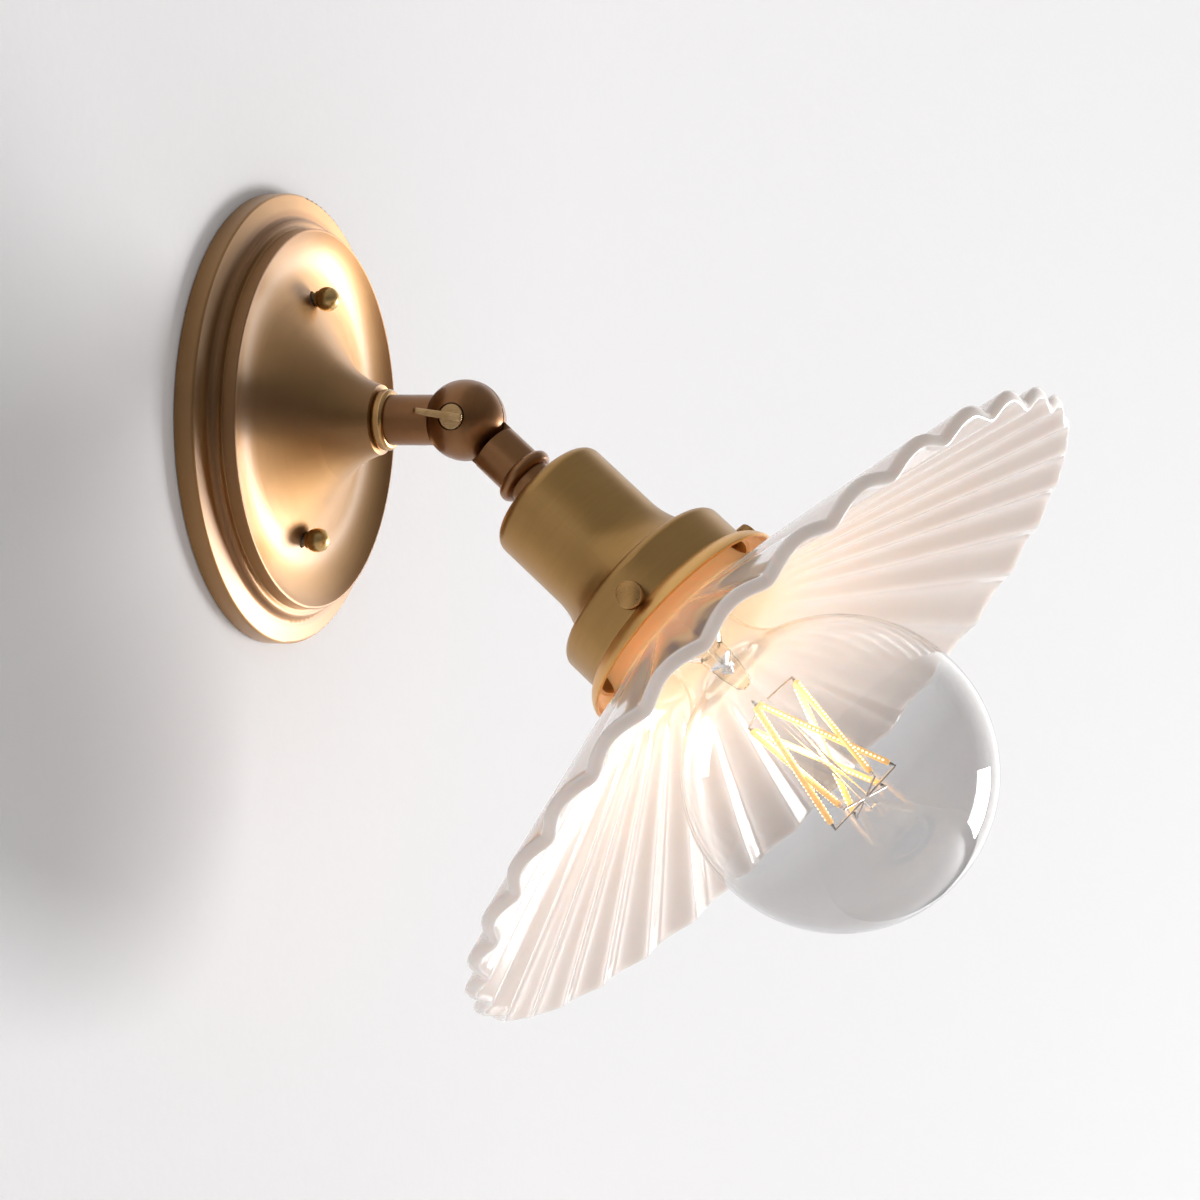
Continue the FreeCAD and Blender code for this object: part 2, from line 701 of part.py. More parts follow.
def make_moving_half():
    """Half ball on the lamp's side, tapped from its flat for the key."""
    blank, tools = half_ball_blank("moving_half", False)
    tools.append(cross_rod("moving_pivot_bore", KEY_BORE, "-1", "key_bore_depth"))
    return cut_from("knuckle_moving_half", blank, tools, LAMP)


def make_friction_washer():
    """Thin washer between the flats, against the fixed half."""
    start = "(-flat_gap / 2)"
    end = f"({start} + friction_washer_thickness)"
    ring = cross_rod("washer_disc", "friction_washer_radius", start, end)
    bore = cross_rod("washer_bore", "key_shaft_radius + friction_washer_gap", "-1", "1")
    return cut_from("friction_washer", ring, [bore], FIXED_ARM)


def make_thumb_key():
    """Screw with a disc head and a lever bar across it."""
    shaft = cross_rod("key_shaft", "key_shaft_radius", "-key_head_seat", "(key_bore_depth - key_end_gap)")
    head = cross_rod("key_head", "key_head_radius", "-key_head_face", "-key_head_seat")
    outer_end = ("-key_head_face - key_bar_thickness", "-key_bar_overhang", "-key_bar_width / 2")
    inner_end = ("-key_head_face", "key_bar_length - key_bar_overhang", "key_bar_width / 2")
    lever = block("key_lever", outer_end, inner_end)
    doc.recompute()
    rounded = doc.addObject("Part::Fillet", "key_lever_rounded")
    rounded.Base = lever
    edge_round = number("key_bar_round")
    rounded.Edges = [(edge, edge_round, edge_round) for edge in range(1, 13)]
    piece = doc.addObject("Part::MultiFuse", "thumb_key")
    piece.Shapes = [shaft, head, rounded]
    piece.Placement = axis_frame(number("key_bar_angle"), PIVOT)
    return piece


# ---------------------------------------------------------------- shade holder and screws

FLARE_ARC = "((cup_flare_width ^ 2 + cup_flare_length ^ 2) / (2 * cup_flare_width))"


def make_shade_holder():
    """Spun cup, flared foot, square shoulder, gallery band and rolled lip, one wall thick all over."""
    inner_arc = "(lip_arc_radius - cup_wall)"
    lip_centre_r = "(gallery_radius - lip_arc_radius * cos(lip_start_slope * 1deg))"
    lip_centre_h = f"({LIP_START} + lip_arc_radius * sin(lip_start_slope * 1deg))"

    def on_lip(radius):
        return (f"{lip_centre_r} + {radius} * cos(lip_end_slope * 1deg)",
                f"{lip_centre_h} - {radius} * sin(lip_end_slope * 1deg)")

    outer_end = on_lip("lip_arc_radius")
    inner_end = on_lip(inner_arc)
    inner_start = f"({lip_centre_h} - sqrt({inner_arc} ^ 2 - (gallery_radius - {lip_centre_r}) ^ 2))"
    flare_in = (f"(cup_radius + {FLARE_ARC}"
                f" - sqrt(({FLARE_ARC} + cup_wall) ^ 2 - (cup_flare_length + cup_wall) ^ 2))")
    corners = [
        (THREAD_HOLE, "0"),
        ("cup_radius - cup_corner", "0"),
        ("cup_radius", "cup_corner", "cup_corner", 1),
        ("cup_radius", "cup_straight"),
        ("cup_radius + cup_flare_width", SHOULDER, FLARE_ARC, -1),
        ("gallery_radius - gallery_corner", SHOULDER),
        ("gallery_radius", f"{SHOULDER} + gallery_corner", "gallery_corner", 1),
        ("gallery_radius", LIP_START),
        (outer_end[0], outer_end[1], "lip_arc_radius", 1),
        (inner_end[0], inner_end[1], "cup_wall * 0.6", 1),
        ("gallery_radius", inner_start, inner_arc, -1),
        ("gallery_radius - cup_wall", inner_start),
        ("gallery_radius - cup_wall", f"{SHOULDER} + gallery_corner"),
        ("gallery_radius - gallery_corner", f"{SHOULDER} + cup_wall", "gallery_corner - cup_wall", -1),
        (flare_in, f"{SHOULDER} + cup_wall"),
        ("cup_radius - cup_wall", "cup_straight", f"{FLARE_ARC} + cup_wall", 1),
        ("cup_radius - cup_wall", "cup_corner"),
        ("cup_radius - cup_corner", "cup_wall", "cup_corner - cup_wall", -1),
        (THREAD_HOLE, "cup_wall"),
    ]
    place = LAMP.multiply(along(number(CUP_SEAT))).multiply(about_own_axis(number("screw_phase")))
    body = turned("shade_holder", corners, place)
    hole = bored(body, "screw_hole", "YZ_Plane", "0", f"{SHOULDER} + screw_level",
                 "screw_radius + close_fit", True)
    ring = body.newObject("PartDesign::PolarPattern", "screw_holes")
    ring.Originals = [hole]
    ring.Axis = (hole.Profile[0], ["V_Axis"])
    ring.Angle = 360
    ring.Occurrences = 3
    body.Tip = ring
    return body


def make_shade_screw(index):
    """Thumbscrew through the gallery band; its own Z points out along the lamp's radius."""
    tip = "fitter_neck_radius"
    seat = "(gallery_radius + screw_edge)"
    base = "(screw_face_reach - screw_head_length)"
    edge = "screw_edge"
    corners = [
        ("0", tip),
        (f"screw_radius - {edge}", tip),
        ("screw_radius", f"{tip} + {edge}"),
        ("screw_radius", seat),
        ("screw_neck_radius", base),
        (f"screw_head_radius - {edge}", base),
        ("screw_head_radius", f"{base} + {edge}"),
        ("screw_head_radius", f"screw_face_reach - {edge}"),
        (f"screw_head_radius - {edge}", "screw_face_reach"),
        ("0", "screw_face_reach"),
    ]
    level = LAMP.multiply(along(number(f"{CUP_SEAT} + {SHOULDER} + screw_level")))
    around = about_own_axis(number("screw_phase") + 120 * index)
    outward = FreeCAD.Placement(FreeCAD.Vector(), FreeCAD.Rotation(FreeCAD.Vector(0, 1, 0), 90))
    return turned(f"shade_screw_{index + 1}", corners, level.multiply(around).multiply(outward))


# ---------------------------------------------------------------- glass shade

POINTS_PER_FLUTE = 8


def flute_row(radius, level, height, side, scallop=0.0):
    """Closed curve round the shade: narrow ridges and wide troughs, offset square to itself by side.

    The scallop is how much further out the troughs reach than the ridges.
    """
    slope = math.radians(number("shade_slope"))
    count = round(number("flute_count"))
    ridge = number("ridge_share")
    total = count * POINTS_PER_FLUTE
    points = []
    for step in range(total):
        angle = 2 * math.pi * step / total
        phase = count * angle
        steepness = -height * count / radius * (math.sin(phase) + 2 * ridge * math.sin(2 * phase))
        stretch = math.hypot(1.0, steepness)
        lift = height * (math.cos(phase) + ridge * math.cos(2 * phase)) + side / stretch
        spin = angle - steepness * side / stretch / radius
        bulge = scallop * (1 - math.cos(phase)) / 2
        reach = radius + bulge - lift * math.sin(slope)
        height_here = level + bulge * math.tan(slope) + lift * math.cos(slope)
        points.append(FreeCAD.Vector(reach * math.cos(spin), reach * math.sin(spin), height_here))
    curve = Part.BSplineCurve()
    curve.interpolate(Points=points, PeriodicFlag=True, Parameters=[float(k) for k in range(total + 1)])
    return curve.toShape()


def make_glass_shade():
    """Fitter neck and trumpet turned, then flutes that rise from nothing to full height at the rim."""
    wall = number("glass_thickness")
    half = wall / 2
    slope = math.radians(number("shade_slope"))
    centre_r = number("fitter_neck_radius + shade_trumpet_radius")
    middle_arc = number("shade_trumpet_radius") + half
    start_r = centre_r - middle_arc * math.sin(slope)
    start_u = number("shade_neck_height") + middle_arc * math.cos(slope)

    def on_cone(radius):
        return start_u + (radius - start_r) * math.tan(slope)

    root_r = number("flute_root_radius")
    rim_r = number("shade_radius")
    root_height = number("flute_root_height")
    scallop = number("scallop_reach")
    stations = [(start_r, start_u, 0.0, 0.0), (root_r, on_cone(root_r), root_height, 0.0),
                (rim_r, on_cone(rim_r), number("flute_height"), scallop)]
    rows = [flute_row(*station[:3], -half, station[3]) for station in stations]
    for share in (-0.6, 0.6):
        beyond = wall * number("rim_round_share")
        rows.append(flute_row(rim_r + beyond * math.cos(slope), on_cone(rim_r) + beyond * math.sin(slope),
                              number("flute_height"), share * half, scallop))
    rows += [flute_row(*station[:3], half, station[3]) for station in reversed(stations)]
    faces = [Part.makeRuledSurface(first, last) for first, last in zip(rows, rows[1:])]

    back = (start_r + half * math.sin(slope), start_u - half * math.cos(slope))
    front = (start_r - half * math.sin(slope), start_u + half * math.cos(slope))
    neck = "fitter_neck_radius"
    bore = "fitter_neck_radius - glass_thickness"
    bead_round = "(fitter_radius - fitter_neck_radius) / 2"
    corners = [
        (str(back[0]), str(back[1])),
        (neck, "shade_neck_height", "shade_trumpet_radius", 1),
        (neck, f"fitter_bead + {bead_round}"),
        ("fitter_radius", f"fitter_bead - {bead_round}"),
        ("fitter_radius", bead_round),
        (f"fitter_radius - {bead_round}", "0"),
        (f"{bore} + {bead_round}", "0"),
        (bore, bead_round),
        (bore, "shade_neck_height"),
        (str(front[0]), str(front[1]), "shade_trumpet_radius + glass_thickness", -1),
    ]
    for edge in outline_edges(corners, closed=False):
        faces.append(edge.revolve(FreeCAD.Vector(), FreeCAD.Vector(0, 0, 1), 360))
    skin = Part.makeCompound(faces)
    skin.sewShape()
    solid = Part.Solid(skin.Shells[0])
    if solid.Volume < 0:
        solid.reverse()
    return shape_feature("glass_shade", solid, LAMP.multiply(along(number(SHADE_SEAT))))


# ---------------------------------------------------------------- lampholder


def make_lampholder_cap():
    """Pressed metal cap: threaded hub, shallow dome and rim on the porcelain."""
    wall = "lampholder_cap_wall"
    rim = "(lampholder_radius - lampholder_cap_wall)"
    corners = [
        (THREAD_HOLE, "0"),
        ("hub_radius", "0"),
        ("hub_radius", f"hub_length - {wall}"),
        (f"{rim} - 2 * {wall}", f"hub_length - {wall}"),
        (rim, f"hub_length + {wall}", f"2 * {wall}", 1),
        (rim, "lampholder_cap_length"),
        (f"{rim} - {wall}", "lampholder_cap_length"),
        (f"{rim} - {wall}", f"hub_length + {wall}"),
        (f"{rim} - 2 * {wall}", "hub_length", wall, -1),
        (THREAD_HOLE, "hub_length"),
    ]
    return turned("lampholder_cap", corners, LAMP.multiply(along(number(CAP_SEAT))))


def make_lampholder_body():
    """Porcelain body with the socket well open towards the lamp and a wire hole behind."""
    floor = "(lampholder_length - socket_depth)"
    corners = [
        ("nipple_bore", "0"),
        ("lampholder_radius - porcelain_round", "0"),
        ("lampholder_radius", "porcelain_round", "porcelain_round", 1),
        ("lampholder_radius", f"{floor} - porcelain_round"),
        ("lampholder_radius - porcelain_round / 2", floor),
        ("lampholder_radius - porcelain_round / 2", "lampholder_length - porcelain_round / 2"),
        ("lampholder_radius - porcelain_round", "lampholder_length", "porcelain_round / 2", 1),
        (f"{SHELL_R} + socket_gap", "lampholder_length"),
        (f"{SHELL_R} + socket_gap", floor),
        ("nipple_bore / 2", floor),
        ("nipple_bore / 2", f"{floor} / 2"),
        ("nipple_bore", f"{floor} / 2"),
    ]
    return turned("lampholder_body", corners, LAMP.multiply(along(number(PORCELAIN_SEAT))))


def make_screw_shell():
    """Drawn metal shell with an inturned base on the well's floor."""
    lip = "contact_radius + contact_clearance"
    corners = [
        (lip, "0"),
        (SHELL_R, "0"),
        (SHELL_R, "shell_length"),
        (f"{SHELL_R} - shell_wall", "shell_length"),
        (f"{SHELL_R} - shell_wall", "shell_wall"),
        (lip, "shell_wall"),
    ]
    return turned("screw_shell", corners, LAMP.multiply(along(number(SOCKET_FLOOR))))


def make_centre_contact():
    """Contact button on the well's floor."""
    corners = [
        ("0", "0"),
        ("contact_radius", "0"),
        ("contact_radius", "contact_height / 2"),
        ("contact_radius - contact_height / 2", "contact_height", "contact_height / 2", 1),
        ("0", "contact_height"),
    ]
    return turned("centre_contact", corners, LAMP.multiply(along(number(SOCKET_FLOOR))))


# ---------------------------------------------------------------- globe lamp

BULB = LAMP.multiply(along(number(BULB_SEAT)))


def make_bulb_contact():
    """Tip of the lamp's cap."""
    corners = [("0", "0"), ("contact_radius - tip_height", "0"),
               ("contact_radius", "tip_height", "tip_height", 1), ("0", "tip_height")]
    return turned("bulb_contact", corners, BULB)


def make_bulb_insulator():
    """Glass cone between the tip and the cap."""
    corners = [("0", "tip_height"), ("contact_radius + tip_ledge", "tip_height"),
               ("cap_radius - cap_taper", "cap_start"), ("0", "cap_start")]
    return turned("bulb_insulator", corners, BULB)


def make_bulb_cap():
    """Thin metal cap that closes round the insulator."""
    shoulder = "(cap_start + cap_taper * 0.7)"
    corners = [
        ("0", "cap_start"),
        ("cap_radius - cap_taper", "cap_start"),
        ("cap_radius", shoulder),
        ("cap_radius", "cap_end"),
        ("cap_radius - cap_wall", "cap_end"),
        ("cap_radius - cap_wall", f"{shoulder} + cap_wall"),
        ("cap_radius - cap_taper", "cap_start + cap_wall"),
        ("0", "cap_start + cap_wall"),
    ]
    return turned("bulb_cap", corners, BULB)


def make_bulb_globe():
    """Blown globe on a short neck, joined by a fillet; hollow, with an even wall."""
    reach = "(globe_radius + globe_neck_fillet)"
    offset = f"({GLOBE_NECK_R} + globe_neck_fillet)"
    drop = f"sqrt({reach} ^ 2 - {offset} ^ 2)"
    fillet_u = f"(globe_centre - {drop})"
    start = "(cap_end - glass_seal_depth)"

    def on_sphere(radius):
        return f"{offset} * {radius} / {reach}", f"globe_centre - {drop} * {radius} / {reach}"

    outer = on_sphere("globe_radius")
    inner = on_sphere("(globe_radius - globe_wall)")
    corners = [
        (f"{GLOBE_NECK_R} - globe_wall", start),
        (GLOBE_NECK_R, start),
        (GLOBE_NECK_R, fillet_u),
        (outer[0], outer[1], "globe_neck_fillet", -1),
        ("0", "globe_centre + globe_radius", "globe_radius", 1),
        ("0", "globe_centre + globe_radius - globe_wall"),
        (inner[0], inner[1], "globe_radius - globe_wall", -1),
        (f"{GLOBE_NECK_R} - globe_wall", fillet_u, "globe_neck_fillet + globe_wall", 1),
    ]
    return turned("bulb_globe", corners, BULB)


def make_bulb_stem():
    """Glass stem: flared foot in the neck, hollow tube, pinch and the solid rod up the middle."""
    tube = "stem_radius / 2"
    corners = [
        ("0", "pinch_level - stem_radius / 2"),
        (f"{tube} - globe_wall", "pinch_level - stem_radius"),
        (f"{tube} - globe_wall", "stem_start + stem_radius"),
        (f"{STEM_FOOT_R} - globe_wall", "stem_start"),
        (STEM_FOOT_R, "stem_start"),
        (tube, "stem_start + stem_radius + globe_wall"),
        (tube, "pinch_level - stem_radius"),
        ("rod_radius * 2", "pinch_level"),
        ("rod_radius", "pinch_level + rod_radius"),
        ("rod_radius", "rod_end"),
        ("0", "rod_end"),
    ]
    return turned("bulb_stem", corners, BULB)


def filament_ends():
    """Crown and foot points of each filament, two filaments from each of three crown posts."""
    pairs = []
    for post in range(3):
        turn = number("crown_turn") + 120 * post
        for twist in (number("filament_twist"), number("filament_twist") - 180):
            ends = []
            for angle, radius, level in ((turn, "crown_radius", "crown_level"),
                                         (turn + twist, "foot_radius", "foot_level")):
                spin = math.radians(angle)
                reach = number(radius)
                ends.append(FreeCAD.Vector(reach * math.cos(spin), reach * math.sin(spin), number(level)))
            pairs.append(ends)
    return pairs


def make_led_filaments():
    """Six straight filament rods, slightly twisted round the stem's rod."""
    rods = []
    for crown, foot in filament_ends():
        tail = (foot - crown).normalize() * number("filament_tail")
        rods.append(rod_between(number("filament_radius"), crown + tail, foot - tail))
    return shape_feature("led_filaments", Part.makeCompound(rods), BULB)


def make_filament_wires():
    """Support wires at the crown and the foot, and the two lead-in wires inside the stem."""
    wire = number("support_wire_radius")
    gap = number("close_fit")
    crown_bits = []
    foot_bits = []
    for crown, foot in filament_ends():
        tail = (foot - crown).normalize() * (number("filament_tail") - gap)
        crown_bits.append(rod_between(wire, crown, crown + tail))
        crown_bits.append(Part.makeSphere(wire, crown))
        foot_bits.append(rod_between(wire, foot, foot - tail))
        foot_bits.append(Part.makeSphere(wire, foot))
        for bits, end in ((crown_bits, crown), (foot_bits, foot)):
            flat = FreeCAD.Vector(end.x, end.y, 0).normalize()
            root = flat * (number("rod_radius") + gap) + FreeCAD.Vector(0, 0, end.z)
            bits.append(rod_between(wire, root, end))
    solids = []
    for bits in (crown_bits, foot_bits):
        solids += bits[0].multiFuse(bits[1:]).removeSplitter().Solids
    for side in (1, -1):
        low = FreeCAD.Vector(side * number("stem_radius / 4"), 0, number("cap_start + cap_wall + close_fit"))
        high = FreeCAD.Vector(side * number("rod_radius"), 0, number("pinch_level - stem_radius * 3 / 4"))
        solids.append(rod_between(wire, low, high))
    return shape_feature("filament_wires", Part.makeCompound(solids), BULB)


# ---------------------------------------------------------------- the whole sconce

NECK_NUT_SEAT = f"({NECK_H} - neck_end_wall - washer_thickness - nut_thickness)"
ARM_NIPPLE_END = f"({NECK_H} + neck_ring_length + nipple_depth)"
HOLDER_NUT_SEAT = f"({CUP_SEAT} + cup_wall + washer_thickness)"

PARTS = [
    make_backplate(),
    make_crossbar(),
    make_studs(),
    make_ball_nuts(),
    make_ground_screw(),
    make_nipple("arm_nipple", f"({NECK_NUT_SEAT} - nipple_tail)", ARM_NIPPLE_END, WALL),
    make_lock_nut("neck_lock_nut", NECK_NUT_SEAT, WALL),
    make_lock_washer("neck_lock_washer", f"({NECK_H} - neck_end_wall - washer_thickness)", WALL),
    make_neck_ring(),
    make_fixed_half(),
    make_friction_washer(),
    make_thumb_key(),
    make_moving_half(),
    make_holder_ring(),
    make_nipple("holder_nipple", "(tube_reach - nipple_depth)", f"({CAP_SEAT} + hub_length)", LAMP),
    make_lock_nut("holder_lock_nut", HOLDER_NUT_SEAT, LAMP),
    make_lock_washer("holder_lock_washer", f"({CUP_SEAT} + cup_wall)", LAMP),
    make_shade_holder(),
    make_glass_shade(),
    make_lampholder_cap(),
    make_lampholder_body(),
    make_screw_shell(),
    make_centre_contact(),
    make_bulb_contact(),
    make_bulb_insulator(),
    make_bulb_cap(),
    make_bulb_globe(),
    make_bulb_stem(),
    make_led_filaments(),
    make_filament_wires(),
]
PARTS += [make_shade_screw(index) for index in range(3)]

doc.recompute()
for item in doc.Objects:
    if "Invalid" in item.State or "Error" in item.State:
        raise ValueError("failed: " + item.Label + " " + str(item.State))
for piece in PARTS:
    if piece.Shape.isNull() or not piece.Shape.isValid():
        raise ValueError("bad shape: " + piece.Label)

os.makedirs("parts", exist_ok=True)
for piece in PARTS:
    piece.Shape.exportStep("parts/" + piece.Label + ".step")
    print(piece.Label, len(piece.Shape.Solids), round(piece.Shape.Volume, 1))
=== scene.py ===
import json
import math

import bmesh
import bpy
import numpy as np
from mathutils import Matrix, Vector


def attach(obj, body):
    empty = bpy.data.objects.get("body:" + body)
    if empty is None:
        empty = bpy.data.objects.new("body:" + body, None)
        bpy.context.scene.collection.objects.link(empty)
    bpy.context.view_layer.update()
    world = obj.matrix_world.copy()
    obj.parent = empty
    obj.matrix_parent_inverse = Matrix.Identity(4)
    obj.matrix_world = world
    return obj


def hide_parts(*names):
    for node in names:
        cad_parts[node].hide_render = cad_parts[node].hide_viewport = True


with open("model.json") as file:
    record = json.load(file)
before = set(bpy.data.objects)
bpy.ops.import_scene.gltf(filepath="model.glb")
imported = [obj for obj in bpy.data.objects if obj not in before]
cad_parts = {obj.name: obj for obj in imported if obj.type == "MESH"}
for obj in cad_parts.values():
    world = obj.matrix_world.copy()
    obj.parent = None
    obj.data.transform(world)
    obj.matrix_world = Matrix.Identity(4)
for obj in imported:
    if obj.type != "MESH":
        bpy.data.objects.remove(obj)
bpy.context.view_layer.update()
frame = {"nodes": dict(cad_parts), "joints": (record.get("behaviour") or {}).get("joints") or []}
nodes = frame["nodes"]

MM = 0.001

# ------------------------------------------------------------------ frames

PIVOT_Y = frame["joints"][0]["pos_m"][1]
TILT = 40.0
# Z points out of the wall, from the ball to the wall, and along the lamp away from the ball.
WALL = Matrix.Rotation(math.radians(90), 4, "X")
FIXED_ARM = Matrix.Translation((0, PIVOT_Y, 0)) @ Matrix.Rotation(math.radians(-90), 4, "X")
LAMP = Matrix.Translation((0, PIVOT_Y, 0)) @ Matrix.Rotation(math.radians(90 + TILT), 4, "X")


def seat(place, distance):
    """A frame moved along its own Z, in millimetres."""
    return place @ Matrix.Translation((0, 0, distance * MM))


# ------------------------------------------------------------------ mesh helpers

SAME_POINT = 1e-6
BEND_STEPS = 5
NEARLY_STRAIGHT = 0.02
MOST_OF_HALF = 0.49


def new_piece(name, points, faces, place):
    """A smooth-shaded mesh piece from points in millimetres in a frame."""
    mesh = bpy.data.meshes.new(name)
    points = np.asarray(points, float) * MM
    turn = np.array(place.to_3x3())
    shift = np.array(place.translation)
    mesh.from_pydata((points @ turn.T + shift).tolist(), [], faces)
    mesh.validate()
    piece = bpy.data.objects.new(name, mesh)
    bpy.context.scene.collection.objects.link(piece)
    for face in mesh.polygons:
        face.use_smooth = True
    return piece


def grid_faces(rows, columns, close_rows=False):
    """Quads between rows of points that each close on themselves."""
    faces = []
    for row in range(rows if close_rows else rows - 1):
        here = row * columns
        there = (row + 1) % rows * columns
        for column in range(columns):
            following = (column + 1) % columns
            faces.append((here + column, here + following, there + following, there + column))
    return faces


def bend(start, corner, end, radius):
    """Points of a round put on a corner of a profile."""
    one = np.asarray(start, float) - corner
    two = np.asarray(end, float) - corner
    one_length, two_length = np.linalg.norm(one), np.linalg.norm(two)
    one, two = one / one_length, two / two_length
    half = math.acos(max(-1.0, min(1.0, float(one @ two)))) / 2
    if half > math.pi / 2 - NEARLY_STRAIGHT:
        return [tuple(corner)]
    reach = min(radius / math.tan(half), one_length * MOST_OF_HALF, two_length * MOST_OF_HALF)
    radius = reach * math.tan(half)
    middle = (one + two) / np.linalg.norm(one + two)
    centre = np.asarray(corner) + middle * radius / math.sin(half)
    first = np.asarray(corner) + one * reach - centre
    last = np.asarray(corner) + two * reach - centre
    angle = math.acos(max(-1.0, min(1.0, float(first @ last) / radius ** 2)))
    points = []
    for step in range(BEND_STEPS + 1):
        share = step / BEND_STEPS
        spot = math.sin((1 - share) * angle) * first + math.sin(share * angle) * last
        points.append(tuple(centre + spot / math.sin(angle)))
    return points


def rounded(profile):
    """A closed profile whose corners (x, y, radius) are rounded; those without stay sharp."""
    points = []
    count = len(profile)
    for index, corner in enumerate(profile):
        before = profile[index - 1][:2]
        after = profile[(index + 1) % count][:2]
        if len(corner) == 2:
            points.append(tuple(corner))
        else:
            points += bend(before, np.array(corner[:2], float), after, corner[2])
    return points


def arc(centre, radius, start, end, steps):
    """Points of an arc in a profile, angles in degrees."""
    turns = np.radians(np.linspace(start, end, steps + 1))
    return [(centre[0] + radius * math.cos(turn), centre[1] + radius * math.sin(turn))
            for turn in turns]


def lathe(name, profile, place, segments, closed=True):
    """A piece turned from points (radius, height) in millimetres; an open one ends on the axis."""
    profile = rounded(profile) if closed else profile
    angles = np.linspace(0, 2 * math.pi, segments, endpoint=False)
    points = []
    for radius, height in profile:
        points += [(radius * math.cos(a), radius * math.sin(a), height) for a in angles]
    piece = new_piece(name, points, grid_faces(len(profile), segments, close_rows=closed), place)
    weld(piece)
    return piece


def weld(piece):
    """Joins doubled points, such as those on the axis."""
    shape = bmesh.new()
    shape.from_mesh(piece.data)
    bmesh.ops.remove_doubles(shape, verts=shape.verts, dist=SAME_POINT)
    bmesh.ops.recalc_face_normals(shape, faces=shape.faces)
    shape.to_mesh(piece.data)
    shape.free()


def crisp(piece, angle):
    """Smooth shading that breaks at edges sharper than an angle in degrees."""
    piece.data.set_sharp_from_angle(angle=math.radians(angle))
    return piece


def joined(name, pieces):
    """Several pieces as one."""
    bpy.ops.object.select_all(action="DESELECT")
    for piece in pieces:
        piece.select_set(True)
    bpy.context.view_layer.objects.active = pieces[0]
    bpy.ops.object.join()
    whole = bpy.context.view_layer.objects.active
    whole.name = name
    whole.data.name = name
    return whole


# ------------------------------------------------------------------ materials


class Nodes:
    """Short calls for building a material's node tree."""

    def __init__(self, name):
        self.material = bpy.data.materials.new(name)
        self.material.use_nodes = True
        self.tree = self.material.node_tree
        self.shader = self.tree.nodes["Principled BSDF"]
        self.output = self.tree.nodes["Material Output"]

    def add(self, kind, **fields):
        """A new node with its properties."""
        node = self.tree.nodes.new("ShaderNode" + kind)
        for field, value in fields.items():
            setattr(node, field, value)
        return node

    def link(self, source, target):
        self.tree.links.new(source, target)

    def fill(self, socket, value):
        """Sets a socket to a number or colour, or links what another node gives."""
        if hasattr(value, "is_linked"):
            self.link(value, socket)
        elif isinstance(value, tuple) and len(value) == 3 and socket.type == "RGBA":
            socket.default_value = (*value, 1.0)
        else:
            socket.default_value = value

    def put(self, **values):
        """Fills the shader's sockets."""
        for field, value in values.items():
            self.fill(self.shader.inputs[field.replace("_", " ")], value)

    def math(self, operation, *values):
        node = self.add("Math", operation=operation)
        for socket, value in zip(node.inputs, values):
            self.fill(socket, value)
        return node.outputs[0]

    def vector(self, *values):
        node = self.add("CombineXYZ")
        for socket, value in zip(node.inputs, values):
            self.fill(socket, value)
        return node.outputs[0]

    def parts(self, vector):
        """The x, y and z of a vector."""
        split = self.add("SeparateXYZ")
        self.link(vector, split.inputs[0])
        return split.outputs

    def where(self):
        """Object coordinates, in metres."""
        return self.add("TexCoord").outputs["Object"]

    def local(self, place):
        """Object coordinates in a frame, in metres."""
        mapping = self.add("Mapping", vector_type="TEXTURE")
        mapping.inputs["Location"].default_value = place.translation
        mapping.inputs["Rotation"].default_value = place.to_euler()
        self.link(self.where(), mapping.inputs["Vector"])
        return mapping.outputs[0]

    def polar(self, place):
        """Radius from a frame's axis, height along it, and unit direction round it."""
        x, y, z = self.parts(self.local(place))
        flat = self.math("ADD", self.math("MULTIPLY", x, x), self.math("MULTIPLY", y, y))
        radius = self.math("MAXIMUM", self.math("SQRT", flat), 1e-5)
        return radius, z, self.math("DIVIDE", x, radius), self.math("DIVIDE", y, radius)

    def noise(self, vector, scale, detail=3.0, rough=0.5):
        node = self.add("TexNoise")
        node.inputs["Scale"].default_value = scale
        node.inputs["Detail"].default_value = detail
        node.inputs["Roughness"].default_value = rough
        self.link(vector, node.inputs["Vector"])
        return node.outputs["Fac"]

    def ramp(self, value, *stops):
        """A colour ramp of stops (position, colour)."""
        node = self.add("ValToRGB")
        ramp = node.color_ramp
        while len(ramp.elements) < len(stops):
            ramp.elements.new(0.5)
        for element, (spot, colour) in zip(ramp.elements, stops):
            element.position = spot
            element.color = (*colour, 1.0)
        self.link(value, node.inputs[0])
        return node.outputs[0]

    def spread(self, value, low, high, start=0.0, end=1.0):
        """Maps start to end onto low to high, and holds both ends."""
        node = self.add("MapRange")
        numbers = {"From Min": start, "From Max": end, "To Min": low, "To Max": high}
        for field, number in numbers.items():
            node.inputs[field].default_value = number
        self.link(value, node.inputs["Value"])
        return node.outputs[0]

    def mix(self, share, one, two, blend="MIX"):
        node = self.add("Mix", data_type="RGBA", blend_type=blend)
        for socket, value in ((0, share), (6, one), (7, two)):
            self.fill(node.inputs[socket], value)
        return node.outputs[2]

    def bump(self, height, strength, distance, under=None):
        """A bump over the surface, or over another bump."""
        node = self.add("Bump")
        node.inputs["Strength"].default_value = strength
        node.inputs["Distance"].default_value = distance
        self.link(height, node.inputs["Height"])
        if under is not None:
            self.link(under, node.inputs["Normal"])
        return node.outputs[0]

    def show_through(self, share, shader):
        """Mixes the shader with another, by a share, and shows that."""
        mixer = self.add("MixShader")
        self.link(share, mixer.inputs[0])
        self.link(self.shader.outputs[0], mixer.inputs[1])
        self.link(shader, mixer.inputs[2])
        self.link(mixer.outputs[0], self.output.inputs[0])


